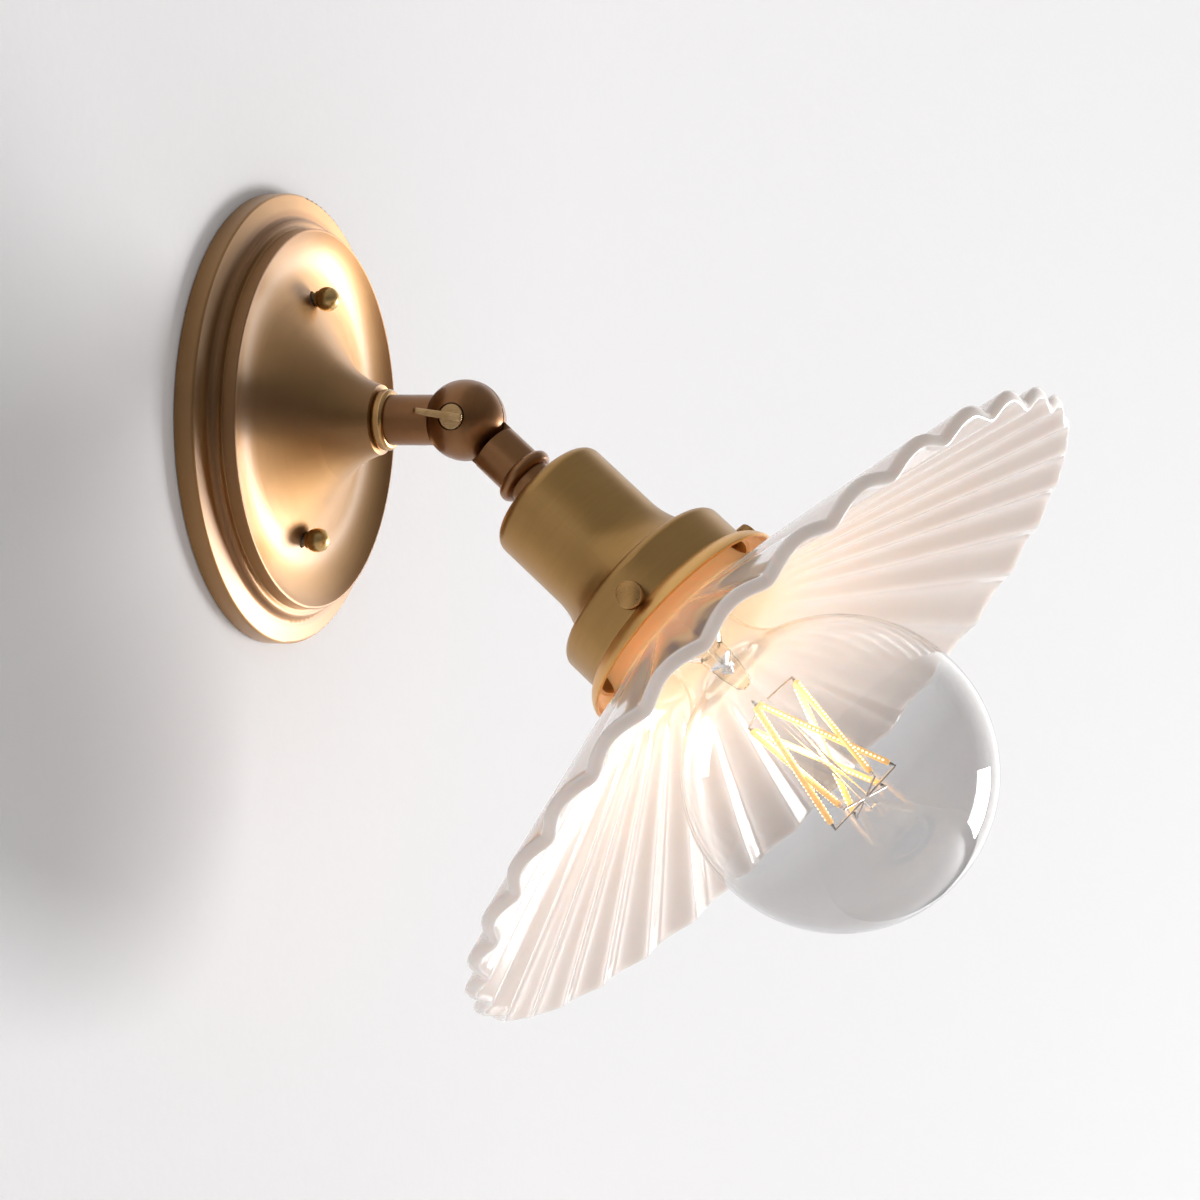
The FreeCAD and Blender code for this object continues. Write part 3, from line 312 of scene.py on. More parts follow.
LINES_ACROSS = 900.0
LINES_ALONG = LINES_ACROSS * 0.83
SLOW_DRIFT = 38.0
SPECKS = 900.0


def turned_metal(name, place, pale, deep, rough, lines, run=1.6, painted_light=None, lacquer=0.45,
                 sheen=0.22, film=1.5, spun=0.0):
    """Spun and lacquered metal: fine lines run round a frame's axis and the tone drifts slowly; a
    painted_light function, if given, paints light or shade into the colour.
    """
    m = Nodes(name)
    radius, height, cos_t, sin_t = m.polar(place)
    level = m.math("ADD", m.math("MULTIPLY", radius, LINES_ACROSS),
                   m.math("MULTIPLY", height, LINES_ALONG))
    round_it = m.vector(m.math("MULTIPLY", cos_t, run), m.math("MULTIPLY", sin_t, run), level)
    fine = m.noise(round_it, 1.0, 2.0, 0.6)
    soft = m.noise(m.local(place), SLOW_DRIFT, 3.0, 0.55)
    specks = m.noise(m.local(place), SPECKS, 2.0, 0.5)
    tone = m.ramp(soft, (0.25, deep), (0.75, pale))
    colour = m.mix(0.8, tone, m.spread(fine, 0.92, 1.05, 0.25, 0.75), "MULTIPLY")
    # Painted light or shade goes into the colour here: shade in the canopy's coves, a highlight on
    # its edge, glow on the cup's lip.
    if painted_light is not None:
        colour = painted_light(m, colour, radius, height)
    slow = m.spread(soft, rough - 0.015, rough + 0.025, 0.3, 0.7)
    quick = m.spread(fine, -0.03, 0.04, 0.3, 0.7)
    under = m.bump(specks, 0.05, 0.00002)
    if spun:
        round_wall = m.add("Tangent", direction_type="RADIAL", axis="Y").outputs[0]
        m.put(Tangent=round_wall, Anisotropic=spun, Anisotropic_Rotation=0.25)
    m.put(Base_Color=colour, Metallic=1.0, Roughness=m.math("ADD", slow, quick),
          Coat_Weight=lacquer, Coat_Roughness=sheen, Coat_IOR=film,
          Normal=m.bump(fine, 0.16 * lines, 0.00004, under))
    return m.material


METAL_MOTTLE = 120.0
METAL_GRAIN = 2600.0


def plain_metal(name, pale, deep, rough, brush=None):
    """Mottled metal with fine grain or, where brush is a stretch (x, y, z), straight lines."""
    m = Nodes(name)
    where = m.where()
    soft = m.noise(where, METAL_MOTTLE, 3.0, 0.55)
    if brush:
        mapping = m.add("Mapping")
        mapping.inputs["Scale"].default_value = brush
        m.link(where, mapping.inputs["Vector"])
        fine = m.noise(mapping.outputs[0], 1.0, 2.0, 0.6)
    else:
        fine = m.noise(where, METAL_GRAIN, 2.0, 0.6)
    m.put(Base_Color=m.ramp(soft, (0.3, deep), (0.7, pale)), Metallic=1.0,
          Roughness=m.spread(fine, rough - 0.05, rough + 0.07, 0.3, 0.7),
          Normal=m.bump(fine, 0.12, 0.00003))
    return m.material


PLATE_RADIUS_M = 0.075
# Painted shade in the canopy's coves and a painted highlight on its edge, set by radius.
PLATE_SHADE_HIGHLIGHT_TONES = (
    (0.0, (1, 1, 1)), (0.74, (1, 1, 1)), (0.795, (0.80, 0.66, 0.50)), (0.801, (1, 0.95, 0.9)),
    (0.83, (0.62, 0.50, 0.36)), (0.868, (0.72, 0.60, 0.45)), (0.885, (1, 1, 1)),
    (0.94, (1, 0.97, 0.92)))
LIP_START_M, LIP_END_M = 0.0908, 0.0925


def plate_cove_shade_edge_highlight(m, colour, radius, _height):
    """Painted shade: a darker tone in the canopy's coves, and a painted highlight: a paler line on
    the edge between them.
    """
    cove = m.ramp(m.math("MULTIPLY", radius, 1 / PLATE_RADIUS_M), *PLATE_SHADE_HIGHLIGHT_TONES)
    return m.mix(0.75, colour, cove, "MULTIPLY")


def lip_painted_glow(m, colour, _radius, height):
    """Painted light: brighter orange where the gallery's lip turns out towards the shade, for the
    light the glass throws back onto it.
    """
    # Painted glow: the lip's orange is light painted into the colour.
    share = m.spread(height, 0.0, 0.8, LIP_START_M, LIP_END_M)
    return m.mix(share, colour, (0.86, 0.50, 0.17))


# The canopy gets painted shade in its coves and a painted highlight on its edge.
CANOPY = turned_metal("canopy_brass", WALL, (0.41, 0.22, 0.075), (0.35, 0.18, 0.055), 0.47, 1.4,
                      painted_light=plate_cove_shade_edge_highlight, lacquer=0.7, sheen=0.34, film=1.6, spun=0.8)
POLISHED = plain_metal("polished_brass", (0.70, 0.48, 0.20), (0.60, 0.39, 0.15), 0.32)
RING = turned_metal("ring_brass", WALL, (0.62, 0.38, 0.16), (0.52, 0.30, 0.11), 0.24, 0.7)
BRONZE_WALL = turned_metal("swivel_bronze", FIXED_ARM, (0.27, 0.125, 0.043), (0.22, 0.095, 0.03),
                           0.36, 0.8, run=2.0)
BRONZE_LAMP = turned_metal("swivel_bronze_lamp", LAMP, (0.30, 0.14, 0.05), (0.24, 0.108, 0.036),
                           0.36, 0.8, run=2.0)
# The cup gets a painted glow on its lip.
CUP = turned_metal("holder_brass", LAMP, (0.46, 0.27, 0.094), (0.40, 0.228, 0.073), 0.38, 1.0,
                   run=1.4, painted_light=lip_painted_glow, lacquer=0.25)
KEY = plain_metal("key_brass", (0.52, 0.35, 0.18), (0.40, 0.25, 0.11), 0.26,
                  brush=(2500, 300, 4200))
SCREW = plain_metal("screw_brass", (0.52, 0.31, 0.12), (0.40, 0.22, 0.08), 0.30)
STEEL = plain_metal("plated_steel", (0.62, 0.60, 0.55), (0.50, 0.48, 0.44), 0.3)
BRIGHT = plain_metal("bright_metal", (0.80, 0.79, 0.77), (0.68, 0.67, 0.65), 0.16)


def porcelain():
    """Glazed white porcelain with a slightly wavy skin."""
    m = Nodes("porcelain")
    where = m.where()
    tone = m.ramp(m.noise(where, 90.0), (0.3, (0.80, 0.78, 0.73)), (0.7, (0.88, 0.86, 0.82)))
    m.put(Base_Color=tone, Roughness=0.14, Coat_Weight=0.4, Coat_Roughness=0.05,
          Normal=m.bump(m.noise(where, 320.0), 0.05, 0.0002))
    return m.material


def black_glass():
    """The black insulator of a lamp's cap."""
    m = Nodes("black_glass")
    tone = m.ramp(m.noise(m.where(), 200.0),
                  (0.3, (0.012, 0.012, 0.014)), (0.7, (0.03, 0.03, 0.034)))
    m.put(Base_Color=tone, Roughness=0.1)
    return m.material


# Radii over which the glass's painted warm reflection and painted glow fade out.
PAINTED_WARM_FROM_M, PAINTED_WARM_TO_M = 0.031, 0.050
CORDS_ROUND, CORDS_ACROSS = 9.0, 60.0


def milk_glass(name, painted_warmth, glow):
    """Glossy opal glass with faint cords; by the neck, a painted reflection of the brass and of the
    lamp's warm light tints it, and a painted glow lights it.
    """
    m = Nodes(name)
    radius, _, cos_t, sin_t = m.polar(LAMP)
    soft = m.noise(m.local(LAMP), 22.0)
    cords = m.noise(m.vector(m.math("MULTIPLY", cos_t, CORDS_ROUND),
                             m.math("MULTIPLY", sin_t, CORDS_ROUND),
                             m.math("MULTIPLY", radius, CORDS_ACROSS)), 1.0, 2.0, 0.4)
    tone = m.ramp(soft, (0.3, (0.825, 0.75, 0.712)), (0.7, (0.855, 0.79, 0.757)))
    # Painted reflection and painted glow: warm colour and emission by the neck, though the glass is
    # no lamp.
    painted_warm_share = m.spread(radius, painted_warmth, 0.0, PAINTED_WARM_FROM_M, PAINTED_WARM_TO_M)
    m.put(Base_Color=m.mix(painted_warm_share, tone, (0.89, 0.66, 0.36)),
          Roughness=m.spread(soft, 0.06, 0.11, 0.3, 0.7), IOR=1.5,
          Emission_Color=(1.0, 0.66, 0.31), Emission_Strength=m.math("MULTIPLY", painted_warm_share, glow),
          Subsurface_Weight=0.55, Subsurface_Scale=0.006, Subsurface_Radius=(1.0, 0.72, 0.55),
          Coat_Weight=0.5, Coat_Roughness=0.03, Normal=m.bump(cords, 0.10, 0.0006))
    return m.material


# Where the globe's painted shade starts and reaches full depth, along the lamp.
CROWN_SHADE_START_M, CROWN_SHADE_END_M = 0.150, 0.170


def clear_glass(name, foot_tint, crown_shade_tint, waves=0.02, density=1.48):
    """Clear glass with painted shade: a grey tint that deepens towards the crown and darkens what
    shows through it; lamps shine through it.
    """
    m = Nodes(name)
    where = m.local(LAMP)
    # Painted shade: the glass greys towards the crown.
    level = m.spread(m.parts(where)[2], 0.0, 1.0, CROWN_SHADE_START_M, CROWN_SHADE_END_M)
    m.put(Base_Color=m.ramp(level, (0.0, foot_tint), (1.0, crown_shade_tint)), Roughness=0.0,
          IOR=density, Transmission_Weight=1.0,
          Normal=m.bump(m.noise(where, 26.0, 2.0), waves, 0.004))
    m.show_through(m.add("LightPath").outputs["Is Shadow Ray"], m.add("BsdfTransparent").outputs[0])
    return m.material


def phosphor():
    """Warm, softly glowing phosphor with a fine grain."""
    m = Nodes("phosphor")
    grain = m.noise(m.where(), 1500.0, 2.0)
    m.put(Base_Color=m.ramp(grain, (0.35, (0.80, 0.46, 0.14)), (0.65, (0.92, 0.63, 0.26))),
          Roughness=0.55, Emission_Color=(1.0, 0.58, 0.24), Emission_Strength=0.8,
          Normal=m.bump(grain, 0.4, 0.0002))
    return m.material


def chip_glow():
    """The brighter chips that show through the phosphor."""
    m = Nodes("chip_glow")
    tone = m.ramp(m.noise(m.where(), 900.0), (0.3, (1.0, 0.86, 0.6)), (0.7, (1.0, 0.93, 0.75)))
    m.put(Base_Color=tone, Roughness=0.4, Emission_Color=(1.0, 0.84, 0.55), Emission_Strength=2.4)
    return m.material


# Both opal glasses carry painted warm reflection and painted glow by the neck; the second far more.
MILK = milk_glass("milk_glass", 0.4, 0.03)
MILK_NECK_PAINTED_GLOW = milk_glass("milk_glass_neck_painted_glow", 1.0, 0.27)
# The globe's crown tint is painted shade; the stem glass stays almost clear.
GLOBE_GLASS = clear_glass("lamp_glass", (0.99, 0.985, 0.98), (0.72, 0.715, 0.715))
STEM_GLASS = clear_glass("stem_glass", (0.97, 0.97, 0.97), (0.95, 0.95, 0.95), 0.1, 1.28)
PORCELAIN = porcelain()
BLACK = black_glass()
PHOSPHOR = phosphor()
CHIP = chip_glow()


def dress(node, material):
    """Gives a CAD node its procedural material."""
    piece = nodes[node]
    piece.data.materials.clear()
    piece.data.materials.append(material)
    for face in piece.data.polygons:
        face.material_index = 0
        face.use_smooth = True


for node, material in {
    "backplate": CANOPY, "ball_nuts": POLISHED, "neck_ring": RING, "mounting_crossbar": STEEL,
    "canopy_studs": STEEL, "ground_screw": STEEL, "arm_nipple": STEEL, "neck_lock_nut": STEEL,
    "neck_lock_washer": STEEL, "friction_washer": STEEL, "knuckle_fixed_half": BRONZE_WALL,
    "knuckle_moving_half": BRONZE_LAMP, "holder_ring": BRONZE_LAMP, "holder_nipple": STEEL,
    "holder_lock_nut": STEEL, "holder_lock_washer": STEEL, "shade_holder": CUP,
    "thumb_key": KEY, "glass_shade": MILK, "lampholder_cap": BRIGHT,
    "lampholder_body": PORCELAIN, "screw_shell": BRIGHT, "centre_contact": POLISHED,
    "bulb_contact": STEEL, "bulb_insulator": BLACK, "bulb_cap": BRIGHT,
    "bulb_globe": GLOBE_GLASS, "bulb_stem": STEM_GLASS, "led_filaments": PHOSPHOR,
    "filament_wires": BRIGHT, "shade_screw_1": SCREW, "shade_screw_2": SCREW,
    "shade_screw_3": SCREW,
}.items():
    dress(node, material)

# ------------------------------------------------------------------ glass shade

SHADE_SEAT = 78.2
SHADE_NECK = 11.55
GLASS = 4.0
BEAD = [(23.3, 0.65), (23.5, 0.19), (23.95, 0.0), (27.95, 0.0), (28.4, 0.19), (28.6, 0.65),
        (28.6, 2.6), (28.35, 3.1), (27.5, 3.9), (27.3, 4.3)]
NECK_OUTSIDE = 27.3
TRUMPET = 13.0
TRUMPET_R = NECK_OUTSIDE + TRUMPET
TRUMPET_STEPS = 10
SLOPE = math.radians(20.4)
CONE_START = TRUMPET_R - (TRUMPET + GLASS / 2) * math.sin(SLOPE)
CONE_LEVEL = SHADE_NECK + (TRUMPET + GLASS / 2) * math.cos(SLOPE)
CONE_STEPS = 30
CONE_FIRST = 0.02
RIM_R = 122.3
RIM_STEPS = 11
RIM_FLATTEN = 0.5
FLUTES = 32
FLUTE_COLUMNS = 20
SHADE_COLUMNS = FLUTES * FLUTE_COLUMNS
FLUTE_ROOT = 52.0
ROOT_HEIGHT = 0.45
FLUTE_HEIGHT = 1.5
CREST_ROUND = 0.22
FLUTE_LIFT = 0.25
SCALLOP = 2.0
# Cone rows of the shade that take the glass with the stronger painted glow.
PAINTED_GLOW_CONE_ROWS = 7


def on_cone(radius):
    """Level of the cone's middle surface at a radius."""
    return CONE_LEVEL + (radius - CONE_START) * math.tan(SLOPE)


def flute_height(radius):
    """How far the flutes stand from the cone at a radius."""
    if radius < FLUTE_ROOT:
        return ROOT_HEIGHT * max(0.0, (radius - CONE_START) / (FLUTE_ROOT - CONE_START))
    return ROOT_HEIGHT + (FLUTE_HEIGHT - ROOT_HEIGHT) * (radius - FLUTE_ROOT) / (RIM_R - FLUTE_ROOT)


def plain_row(radius, level):
    """Points of a plain ring."""
    angle = np.linspace(0, 2 * math.pi, SHADE_COLUMNS, endpoint=False)
    return np.c_[radius * np.cos(angle), radius * np.sin(angle), np.full(SHADE_COLUMNS, level)]


def flute_row(radius, level, height, side):
    """Points round a surface at a distance from the fluted one; troughs reach out furthest."""
    angle = np.linspace(0, 2 * math.pi, SHADE_COLUMNS, endpoint=False)
    phase = FLUTES * angle
    scoop = np.hypot(np.sin(phase / 2), CREST_ROUND)
    depth = math.hypot(1.0, CREST_ROUND) - CREST_ROUND
    steep = -height * FLUTES / radius * np.sin(phase) / (2 * scoop * depth)
    scoop = (scoop - CREST_ROUND) / depth
    stretch = np.hypot(1.0, steep)
    lift = height * (1 + FLUTE_LIFT - 2 * scoop) + side / stretch
    spin = angle - steep * side / stretch / radius
    share = max(0.0, (radius - FLUTE_ROOT) / (RIM_R - FLUTE_ROOT))
    bulge = SCALLOP * share * scoop
    reach = radius + bulge - lift * math.sin(SLOPE)
    height_here = level + bulge * math.tan(SLOPE) + lift * math.cos(SLOPE)
    return np.c_[reach * np.cos(spin), reach * np.sin(spin), height_here]


def trumpet_rows(radius, start, end):
    """Rings where the neck turns out into the cone, between two shares of that turn."""
    turns = np.linspace(start, end, TRUMPET_STEPS) * (math.pi / 2 - SLOPE)
    return [plain_row(TRUMPET_R - radius * math.cos(turn), SHADE_NECK + radius * math.sin(turn))
            for turn in turns]


def build_shade():
    """Beaded neck, trumpet and fluted cone with a round rim, drawn from outside to inside."""
    half = GLASS / 2
    rows = [plain_row(radius, level) for radius, level in BEAD]
    rows += trumpet_rows(TRUMPET, 0, 1)
    painted_glow_rows = len(rows) + PAINTED_GLOW_CONE_ROWS
    reaches = list(CONE_START + (RIM_R - CONE_START) * np.linspace(CONE_FIRST, 1, CONE_STEPS))
    rows += [flute_row(radius, on_cone(radius), flute_height(radius), -half) for radius in reaches]
    for share in np.linspace(-1, 1, RIM_STEPS)[1:-1]:
        turn = share * math.pi / 2
        beyond = half * RIM_FLATTEN * math.cos(turn)
        rows.append(flute_row(RIM_R + beyond * math.cos(SLOPE),
                              on_cone(RIM_R) + beyond * math.sin(SLOPE),
                              FLUTE_HEIGHT, half * math.sin(turn)))
    rows += [flute_row(radius, on_cone(radius), flute_height(radius), half)
             for radius in reversed(reaches)]
    rows += trumpet_rows(TRUMPET + GLASS, 1, 0)
    faces = grid_faces(len(rows), SHADE_COLUMNS, close_rows=True)
    piece = new_piece("opal_shade", np.concatenate(rows), faces, seat(LAMP, SHADE_SEAT))
    weld(piece)
    piece.data.materials.append(MILK)
    piece.data.materials.append(MILK_NECK_PAINTED_GLOW)
    for face in piece.data.polygons:
        # Faces by the neck take the glass with the stronger painted glow.
        face.material_index = 1 if face.vertices[0] < painted_glow_rows * SHADE_COLUMNS else 0
    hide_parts("glass_shade")
    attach(piece, "lamp_head")


build_shade()

# ------------------------------------------------------------------ globe lamp

BULB = seat(LAMP, 72.3)
GLOBE_NECK = 12.7
GLOBE_FILLET = 17.0
GLOBE_R = 47.5
GLOBE_WALL = 0.9
GLOBE_FOOT = 24.0
GLOBE_LEVEL = 90.4

POSTS = 3
TWISTS = (80, -100)
CROWN_R, CROWN_LEVEL = 12, 58.6
FOOT_R, FOOT_LEVEL = 13, 101.1
TAIL = 2.0
ROD_CORE, ROD_ROUND = 0.45, 0.5
CHIP_PITCH = 1.28
CHIP_MARGIN = 1.5
CHIP_REACH = 0.86
CHIP_TURN = 35
CHIP_R, CHIP_SQUEEZE = 0.42, 0.85
CHIP_BEAD = [(radius * CHIP_SQUEEZE, height) for radius, height in
             [(0, -CHIP_R)] + arc((0, 0), CHIP_R, -60, 60, 4) + [(0, CHIP_R)]]
TURNED_ROUND = Matrix.Rotation(math.pi, 4, "X")
TAB_OVERLAP = 0.3
TAB = [(radius, height - TAB_OVERLAP) for radius, height in
       [(0, 0), (0.5, 0), (0.5, 1.1), (0.32, 1.5), (0, 1.5)]]


def build_globe():
    """Blown globe with an even wall, drawn finer than the solid."""
    neck_reach = GLOBE_NECK + GLOBE_FILLET
    drop = math.sqrt((GLOBE_R + GLOBE_FILLET) ** 2 - neck_reach ** 2)
    meet = math.degrees(math.atan2(drop, neck_reach))
    skins = []
    for wall in (0.0, GLOBE_WALL):
        skin = [(GLOBE_NECK - wall, GLOBE_FOOT)]
        skin += arc((neck_reach, GLOBE_LEVEL - drop), GLOBE_FILLET + wall, 180, 180 - meet, 10)
        skin += arc((0, GLOBE_LEVEL), GLOBE_R - wall, -meet, 90, 44)[1:]
        skins.append(skin)
    piece = lathe("clear_globe", skins[0] + skins[1][::-1], BULB, 128)
    piece.data.materials.append(GLOBE_GLASS)
    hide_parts("bulb_globe")
    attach(piece, "lamp_head")


def pointing(start, end):
    """A frame at start, in millimetres in the lamp's frame, with its Z towards end."""
    run = Vector(end) - Vector(start)
    turn = run.to_track_quat("Z", "Y").to_matrix().to_4x4()
    return BULB @ Matrix.Translation(Vector(start) * MM) @ turn, run.length


def on_circle(radius, angle, level):
    return Vector((radius * math.cos(angle), radius * math.sin(angle), level))


def build_filaments():
    """Six phosphor rods between crown and foot, with rows of chips and metal end tabs."""
    rods, chips, tabs = [], [], []
    for post in range(POSTS):
        crown_turn = math.radians(60 + 120 * post)
        crown = on_circle(CROWN_R, crown_turn, CROWN_LEVEL)
        for twist in TWISTS:
            foot = on_circle(FOOT_R, crown_turn + math.radians(twist), FOOT_LEVEL)
            tail = (foot - crown).normalized() * TAIL
            place, length = pointing(crown + tail, foot - tail)
            skin = [(0, 0)] + arc((ROD_CORE, ROD_ROUND), ROD_ROUND, -90, 0, 4)
            skin += arc((ROD_CORE, length - ROD_ROUND), ROD_ROUND, 0, 90, 4) + [(0, length)]
            rods.append(lathe("rod", skin, place, 16, closed=False))
            chip_run = length - 2 * CHIP_MARGIN
            count = int(chip_run / CHIP_PITCH)
            for side in (0, 1):
                turn = Matrix.Rotation(math.radians(180 * side + CHIP_TURN), 4, "Z")
                for index in range(count):
                    level = CHIP_MARGIN + (index + 0.5) * chip_run / count
                    spot = place @ turn @ Matrix.Translation((CHIP_REACH * MM, 0, level * MM))
                    chips.append(lathe("chip", CHIP_BEAD, spot, 8, closed=False))
            tabs.append(lathe("tab", TAB, place @ TURNED_ROUND, 12, closed=False))
            tabs.append(lathe("tab", TAB, seat(place, length), 12, closed=False))
    rod = joined("filament_rods", rods)
    rod.data.materials.append(PHOSPHOR)
    chip = joined("filament_chips", chips)
    chip.data.materials.append(CHIP)
    tab = joined("filament_tabs", tabs)
    tab.data.materials.append(BRIGHT)
    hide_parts("led_filaments")
    for piece, slot in ((rod, "phosphor"), (chip, "phosphor"), (tab, "lamp_metal")):
        crisp(piece, 40)
        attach(piece, "lamp_head")


build_globe()
build_filaments()

# ------------------------------------------------------------------ shade screws and thumb key

SCREW_LEVEL = 88.3
FIRST_SCREW = 175.7
KNURLS = 40
KNURL_CUT = 0.2
KNURL_TOOTH = [0.0, 0.0, -KNURL_CUT, -KNURL_CUT]
# Radius, distance from the lamp's axis, and share of the knurls' cut.
SCREW_PROFILE = [
    (0, 27.3, 0), (1.45, 27.3, 0), (1.75, 27.6, 0), (1.75, 32.3, 0), (2.5, 34.8, 0),
    (3.62, 34.8, 0), (4.1, 34.92, 0.3), (4.3, 35.15, 1), (4.3, 37.45, 1), (4.18, 37.66, 0.3),
    (4.05, 37.76, 0), (3.95, 37.8, 0), (3.75, 37.8, 0), (3.65, 37.74, 0), (3.55, 37.78, 0),
    (0.0, 37.78, 0)]

KEY_TURN = 8
KEY_DISC = [(0, -8.0), (2.5, -8.0), (2.5, 8.6), (4.0, 8.6, 0.1), (4.0, 12.15, 0.35), (0, 12.15)]
BAR_X = -13.1
BAR_COLUMNS = 24
BAR_SQUARENESS = 0.35
# Distance along the bar, half its height and half its thickness.
BAR_STATIONS = [
    (-4.3, 1.05, 0.55), (-4.15, 1.25, 0.85), (-3.6, 1.3, 1.0), (0.0, 1.25, 1.0), (4.0, 1.15, 1.0),
    (8.0, 1.05, 0.95), (11.0, 1.0, 0.88), (11.8, 0.9, 0.75), (12.2, 0.6, 0.45)]


def build_screw(index, body):
    """Thumbscrew with a straight-knurled head and a turned face."""
    place = seat(LAMP, SCREW_LEVEL)
    place = place @ Matrix.Rotation(math.radians(FIRST_SCREW + 120 * index), 4, "Z")
    place = place @ Matrix.Rotation(math.radians(90), 4, "Y")
    teeth = np.tile(KNURL_TOOTH, KNURLS)
    columns = len(teeth)
    angles = np.linspace(0, 2 * math.pi, columns, endpoint=False)
    rows = []
    for radius, height, cut in SCREW_PROFILE:
        reach = radius + teeth * cut
        rows.append(np.c_[reach * np.cos(angles), reach * np.sin(angles), np.full(columns, height)])
    faces = grid_faces(len(rows), columns)
    piece = new_piece(f"knurled_screw_{index + 1}", np.concatenate(rows), faces, place)
    weld(piece)
    crisp(piece, 28)
    piece.data.materials.append(SCREW)
    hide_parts(f"shade_screw_{index + 1}")
    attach(piece, body)


def squarish(value, size):
    """A sine or cosine drawn out towards the corners of a rounded rectangle."""
    return math.copysign(abs(value) ** BAR_SQUARENESS, value) * size


def build_key():
    """Disc-headed screw with a lever bar that thins a little towards its outer end."""
    place = Matrix.Translation((0, PIVOT_Y, 0)) @ Matrix.Rotation(math.radians(KEY_TURN), 4, "X")
    across = place @ Matrix.Rotation(math.radians(-90), 4, "Y")
    head = lathe("key_disc", KEY_DISC, across, 64)
    turns = [2 * math.pi * turn / BAR_COLUMNS for turn in range(BAR_COLUMNS)]
    points = [(BAR_X + squarish(math.cos(turn), thick), reach, squarish(math.sin(turn), tall))
              for reach, tall, thick in BAR_STATIONS for turn in turns]
    faces = grid_faces(len(BAR_STATIONS), BAR_COLUMNS)
    faces += [tuple(range(BAR_COLUMNS))[::-1], tuple(range(len(points) - BAR_COLUMNS, len(points)))]
    bar = new_piece("key_bar", points, faces, place)
    weld(bar)
    key = crisp(joined("lever_key", [head, bar]), 35)
    key.data.materials.append(KEY)
    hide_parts("thumb_key")
    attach(key, "key")


for index, body in enumerate(("screw_one", "screw_two", "screw_three")):
    build_screw(index, body)
build_key()

# ------------------------------------------------------------------ stage, light and camera

# Where the painted shade on wall and floor starts and reaches full depth, along x.
WALL_SHADE_NEAR_M, WALL_SHADE_FAR_M = 0.25, 1.65
STAGE_LEFT, STAGE_RIGHT = -5, 8
STAGE_FLOOR, STAGE_TOP = -2.4, 3
STAGE_FRONT, STAGE_WALL = -8, 0.0004


def wall_paint():
    """Pale matt paint with painted shade: a little darker towards the lamp's far side, evening out
    the key light there; unseen from behind.
    """
    m = Nodes("wall_paint")
    where = m.where()
    # Painted shade: the wall and floor darken towards larger x.
    along = m.spread(m.parts(where)[0], 0.0, 1.0, WALL_SHADE_NEAR_M, WALL_SHADE_FAR_M)
    m.put(Base_Color=m.ramp(along, (0.0, (0.90, 0.892, 0.898)), (1.0, (0.70, 0.695, 0.70))),
          Roughness=0.85, Specular_IOR_Level=0.0,
          Normal=m.bump(m.noise(where, 260.0), 0.16, 0.0012))
    m.show_through(m.add("NewGeometry").outputs["Backfacing"], m.add("BsdfTransparent").outputs[0])
    return m.material


def stage_sheet(name, corners, paint):
    """A flat sheet of the stage, in metres."""
    mesh = bpy.data.meshes.new(name)
    mesh.from_pydata(corners, [], [(0, 1, 2, 3)])
    sheet = bpy.data.objects.new(name, mesh)
    bpy.context.scene.collection.objects.link(sheet)
    mesh.materials.append(paint)


PAINT = wall_paint()
low_left, low_right = (STAGE_LEFT, STAGE_WALL, STAGE_FLOOR), (STAGE_RIGHT, STAGE_WALL, STAGE_FLOOR)
stage_sheet("wall", [low_left, low_right, (STAGE_RIGHT, STAGE_WALL, STAGE_TOP),
                     (STAGE_LEFT, STAGE_WALL, STAGE_TOP)], PAINT)
stage_sheet("floor", [(STAGE_LEFT, STAGE_FRONT, STAGE_FLOOR),
                      (STAGE_RIGHT, STAGE_FRONT, STAGE_FLOOR), low_right, low_left], PAINT)


def in_scene(name, data, place):
    """A light or camera as an object at a place."""
    thing = bpy.data.objects.new(name, data)
    bpy.context.scene.collection.objects.link(thing)
    thing.location = place
    return thing


def key_light(place, target, size, power):
    """A square soft box that faces a target."""
    light = bpy.data.lights.new("key_light", "AREA")
    light.shape = "RECTANGLE"
    light.size = light.size_y = size
    light.energy = power
    lamp = in_scene("key_light", light, place)
    lamp.rotation_euler = (Vector(target) - Vector(place)).to_track_quat("-Z", "Y").to_euler()


def lamp_glow(level, power):
    """The filaments' light, from an unseen point inside the globe."""
    glow = bpy.data.lights.new("lamp_glow", "POINT")
    glow.energy = power
    glow.color = (1.0, 0.74, 0.50)
    glow.shadow_soft_size = 0.012
    lamp = in_scene("lamp_glow", glow, seat(LAMP, level).translation)
    for sight in ("visible_camera", "visible_glossy", "visible_transmission"):
        setattr(lamp, sight, False)


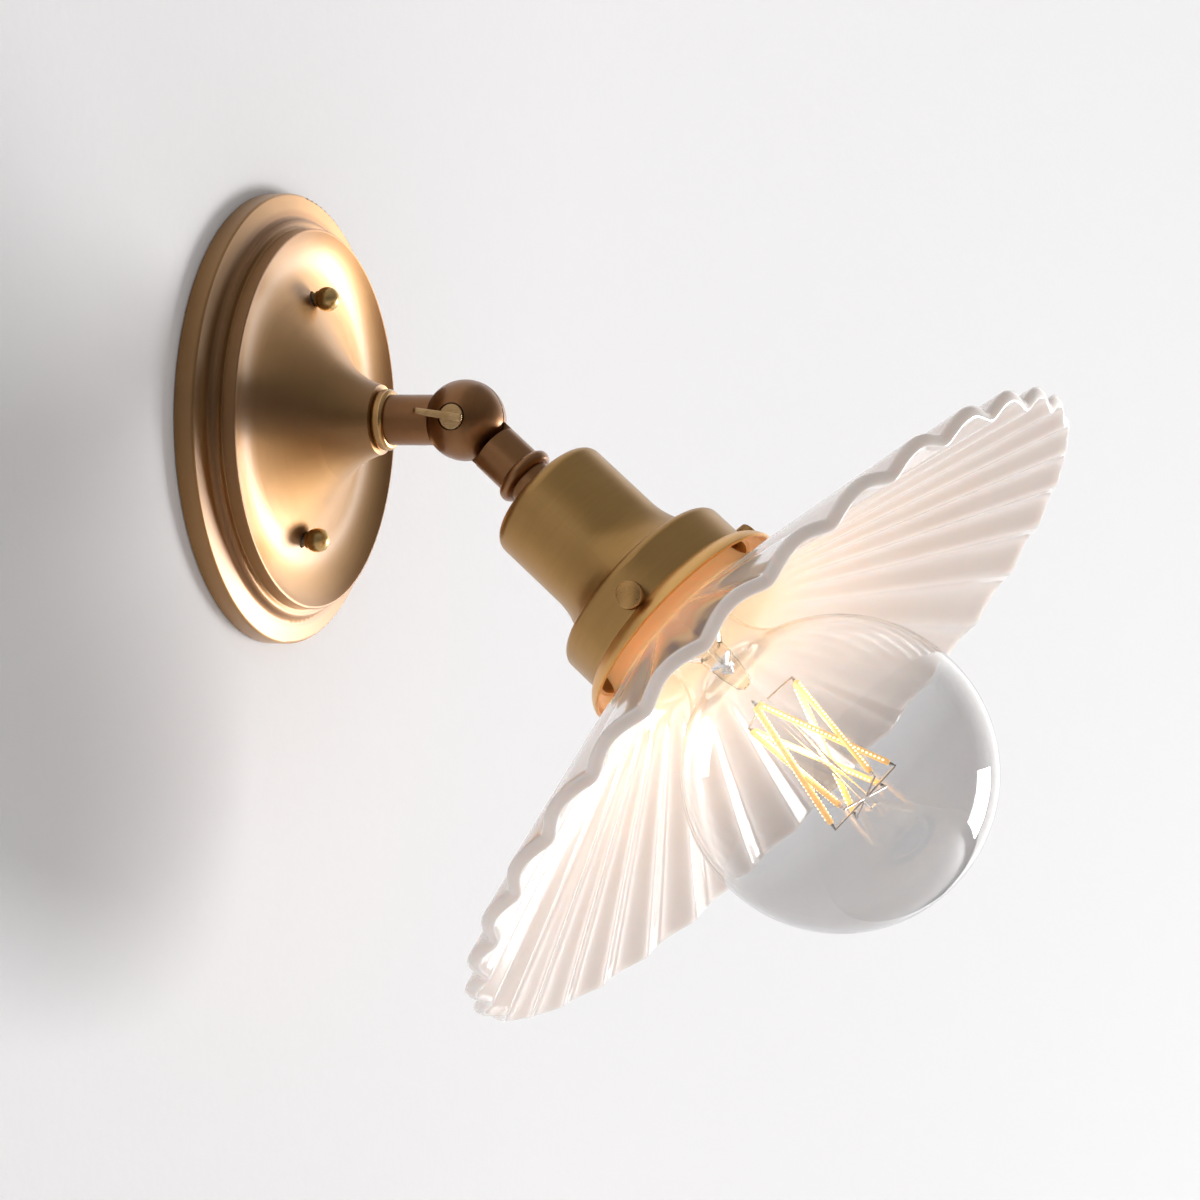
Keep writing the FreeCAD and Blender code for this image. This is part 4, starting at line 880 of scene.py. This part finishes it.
def studio_world(fill, dim, bright, high_low):
    """Even fill for matt surfaces; shiny ones see a dim room that is bright on the right."""
    world = bpy.data.worlds.new("studio")
    bpy.context.scene.world = world
    world.use_nodes = True
    tree = world.node_tree
    where = tree.nodes.new("ShaderNodeTexCoord")
    split = tree.nodes.new("ShaderNodeSeparateXYZ")
    right_side = tree.nodes.new("ShaderNodeMapRange")
    right_side.interpolation_type = "SMOOTHSTEP"
    numbers = {"From Min": 0.55, "From Max": 1.0, "To Min": dim, "To Max": bright}
    for field, number in numbers.items():
        right_side.inputs[field].default_value = number
    from_level = tree.nodes.new("ShaderNodeMath")
    from_level.operation = "ABSOLUTE"
    room = tree.nodes.new("ShaderNodeMath")
    room.operation = "MULTIPLY_ADD"
    room.inputs[1].default_value = high_low
    path = tree.nodes.new("ShaderNodeLightPath")
    choice = tree.nodes.new("ShaderNodeMix")
    choice.inputs[2].default_value = fill
    background = tree.nodes["Background"]
    background.inputs[0].default_value = (1, 0.99, 0.98, 1)
    for source, target in (
        (where.outputs["Generated"], split.inputs[0]),
        (split.outputs[0], right_side.inputs["Value"]),
        (split.outputs[2], from_level.inputs[0]),
        (from_level.outputs[0], room.inputs[0]),
        (right_side.outputs[0], room.inputs[2]),
        (path.outputs["Is Glossy Ray"], choice.inputs[0]),
        (room.outputs[0], choice.inputs[3]),
        (choice.outputs[0], background.inputs[1]),
    ):
        tree.links.new(source, target)


EYE = (-1.0009, -0.4814, -0.0958)
YAW, PITCH, ROLL = (math.radians(angle) for angle in (20.3, 2.2, 2.2))


def photo_camera():
    """The camera that was fitted to the photograph."""
    forward = Vector((math.cos(YAW) * math.cos(PITCH), math.sin(YAW) * math.cos(PITCH),
                      math.sin(PITCH)))
    right = forward.cross(Vector((0, 0, 1))).normalized()
    up = right.cross(forward)
    right, up = (right * math.cos(ROLL) + up * math.sin(ROLL),
                 up * math.cos(ROLL) - right * math.sin(ROLL))
    view = bpy.data.cameras.new("photo_camera")
    view.lens = 105
    view.sensor_width = 36
    view.clip_start = 0.01
    view.clip_end = 30
    camera = in_scene("photo_camera", view, EYE)
    camera.matrix_world = Matrix((
        (right.x, up.x, -forward.x, EYE[0]),
        (right.y, up.y, -forward.y, EYE[1]),
        (right.z, up.z, -forward.z, EYE[2]),
        (0, 0, 0, 1)))
    bpy.context.scene.camera = camera


key_light((4.65, -3.72, -0.84), (0, -0.1, -0.05), 2.1, 272.0)
lamp_glow(150.0, 0.14)
studio_world(0.415, 0.11, 1.6, 0.28)
photo_camera()
bpy.context.scene.view_settings.view_transform = "Standard"
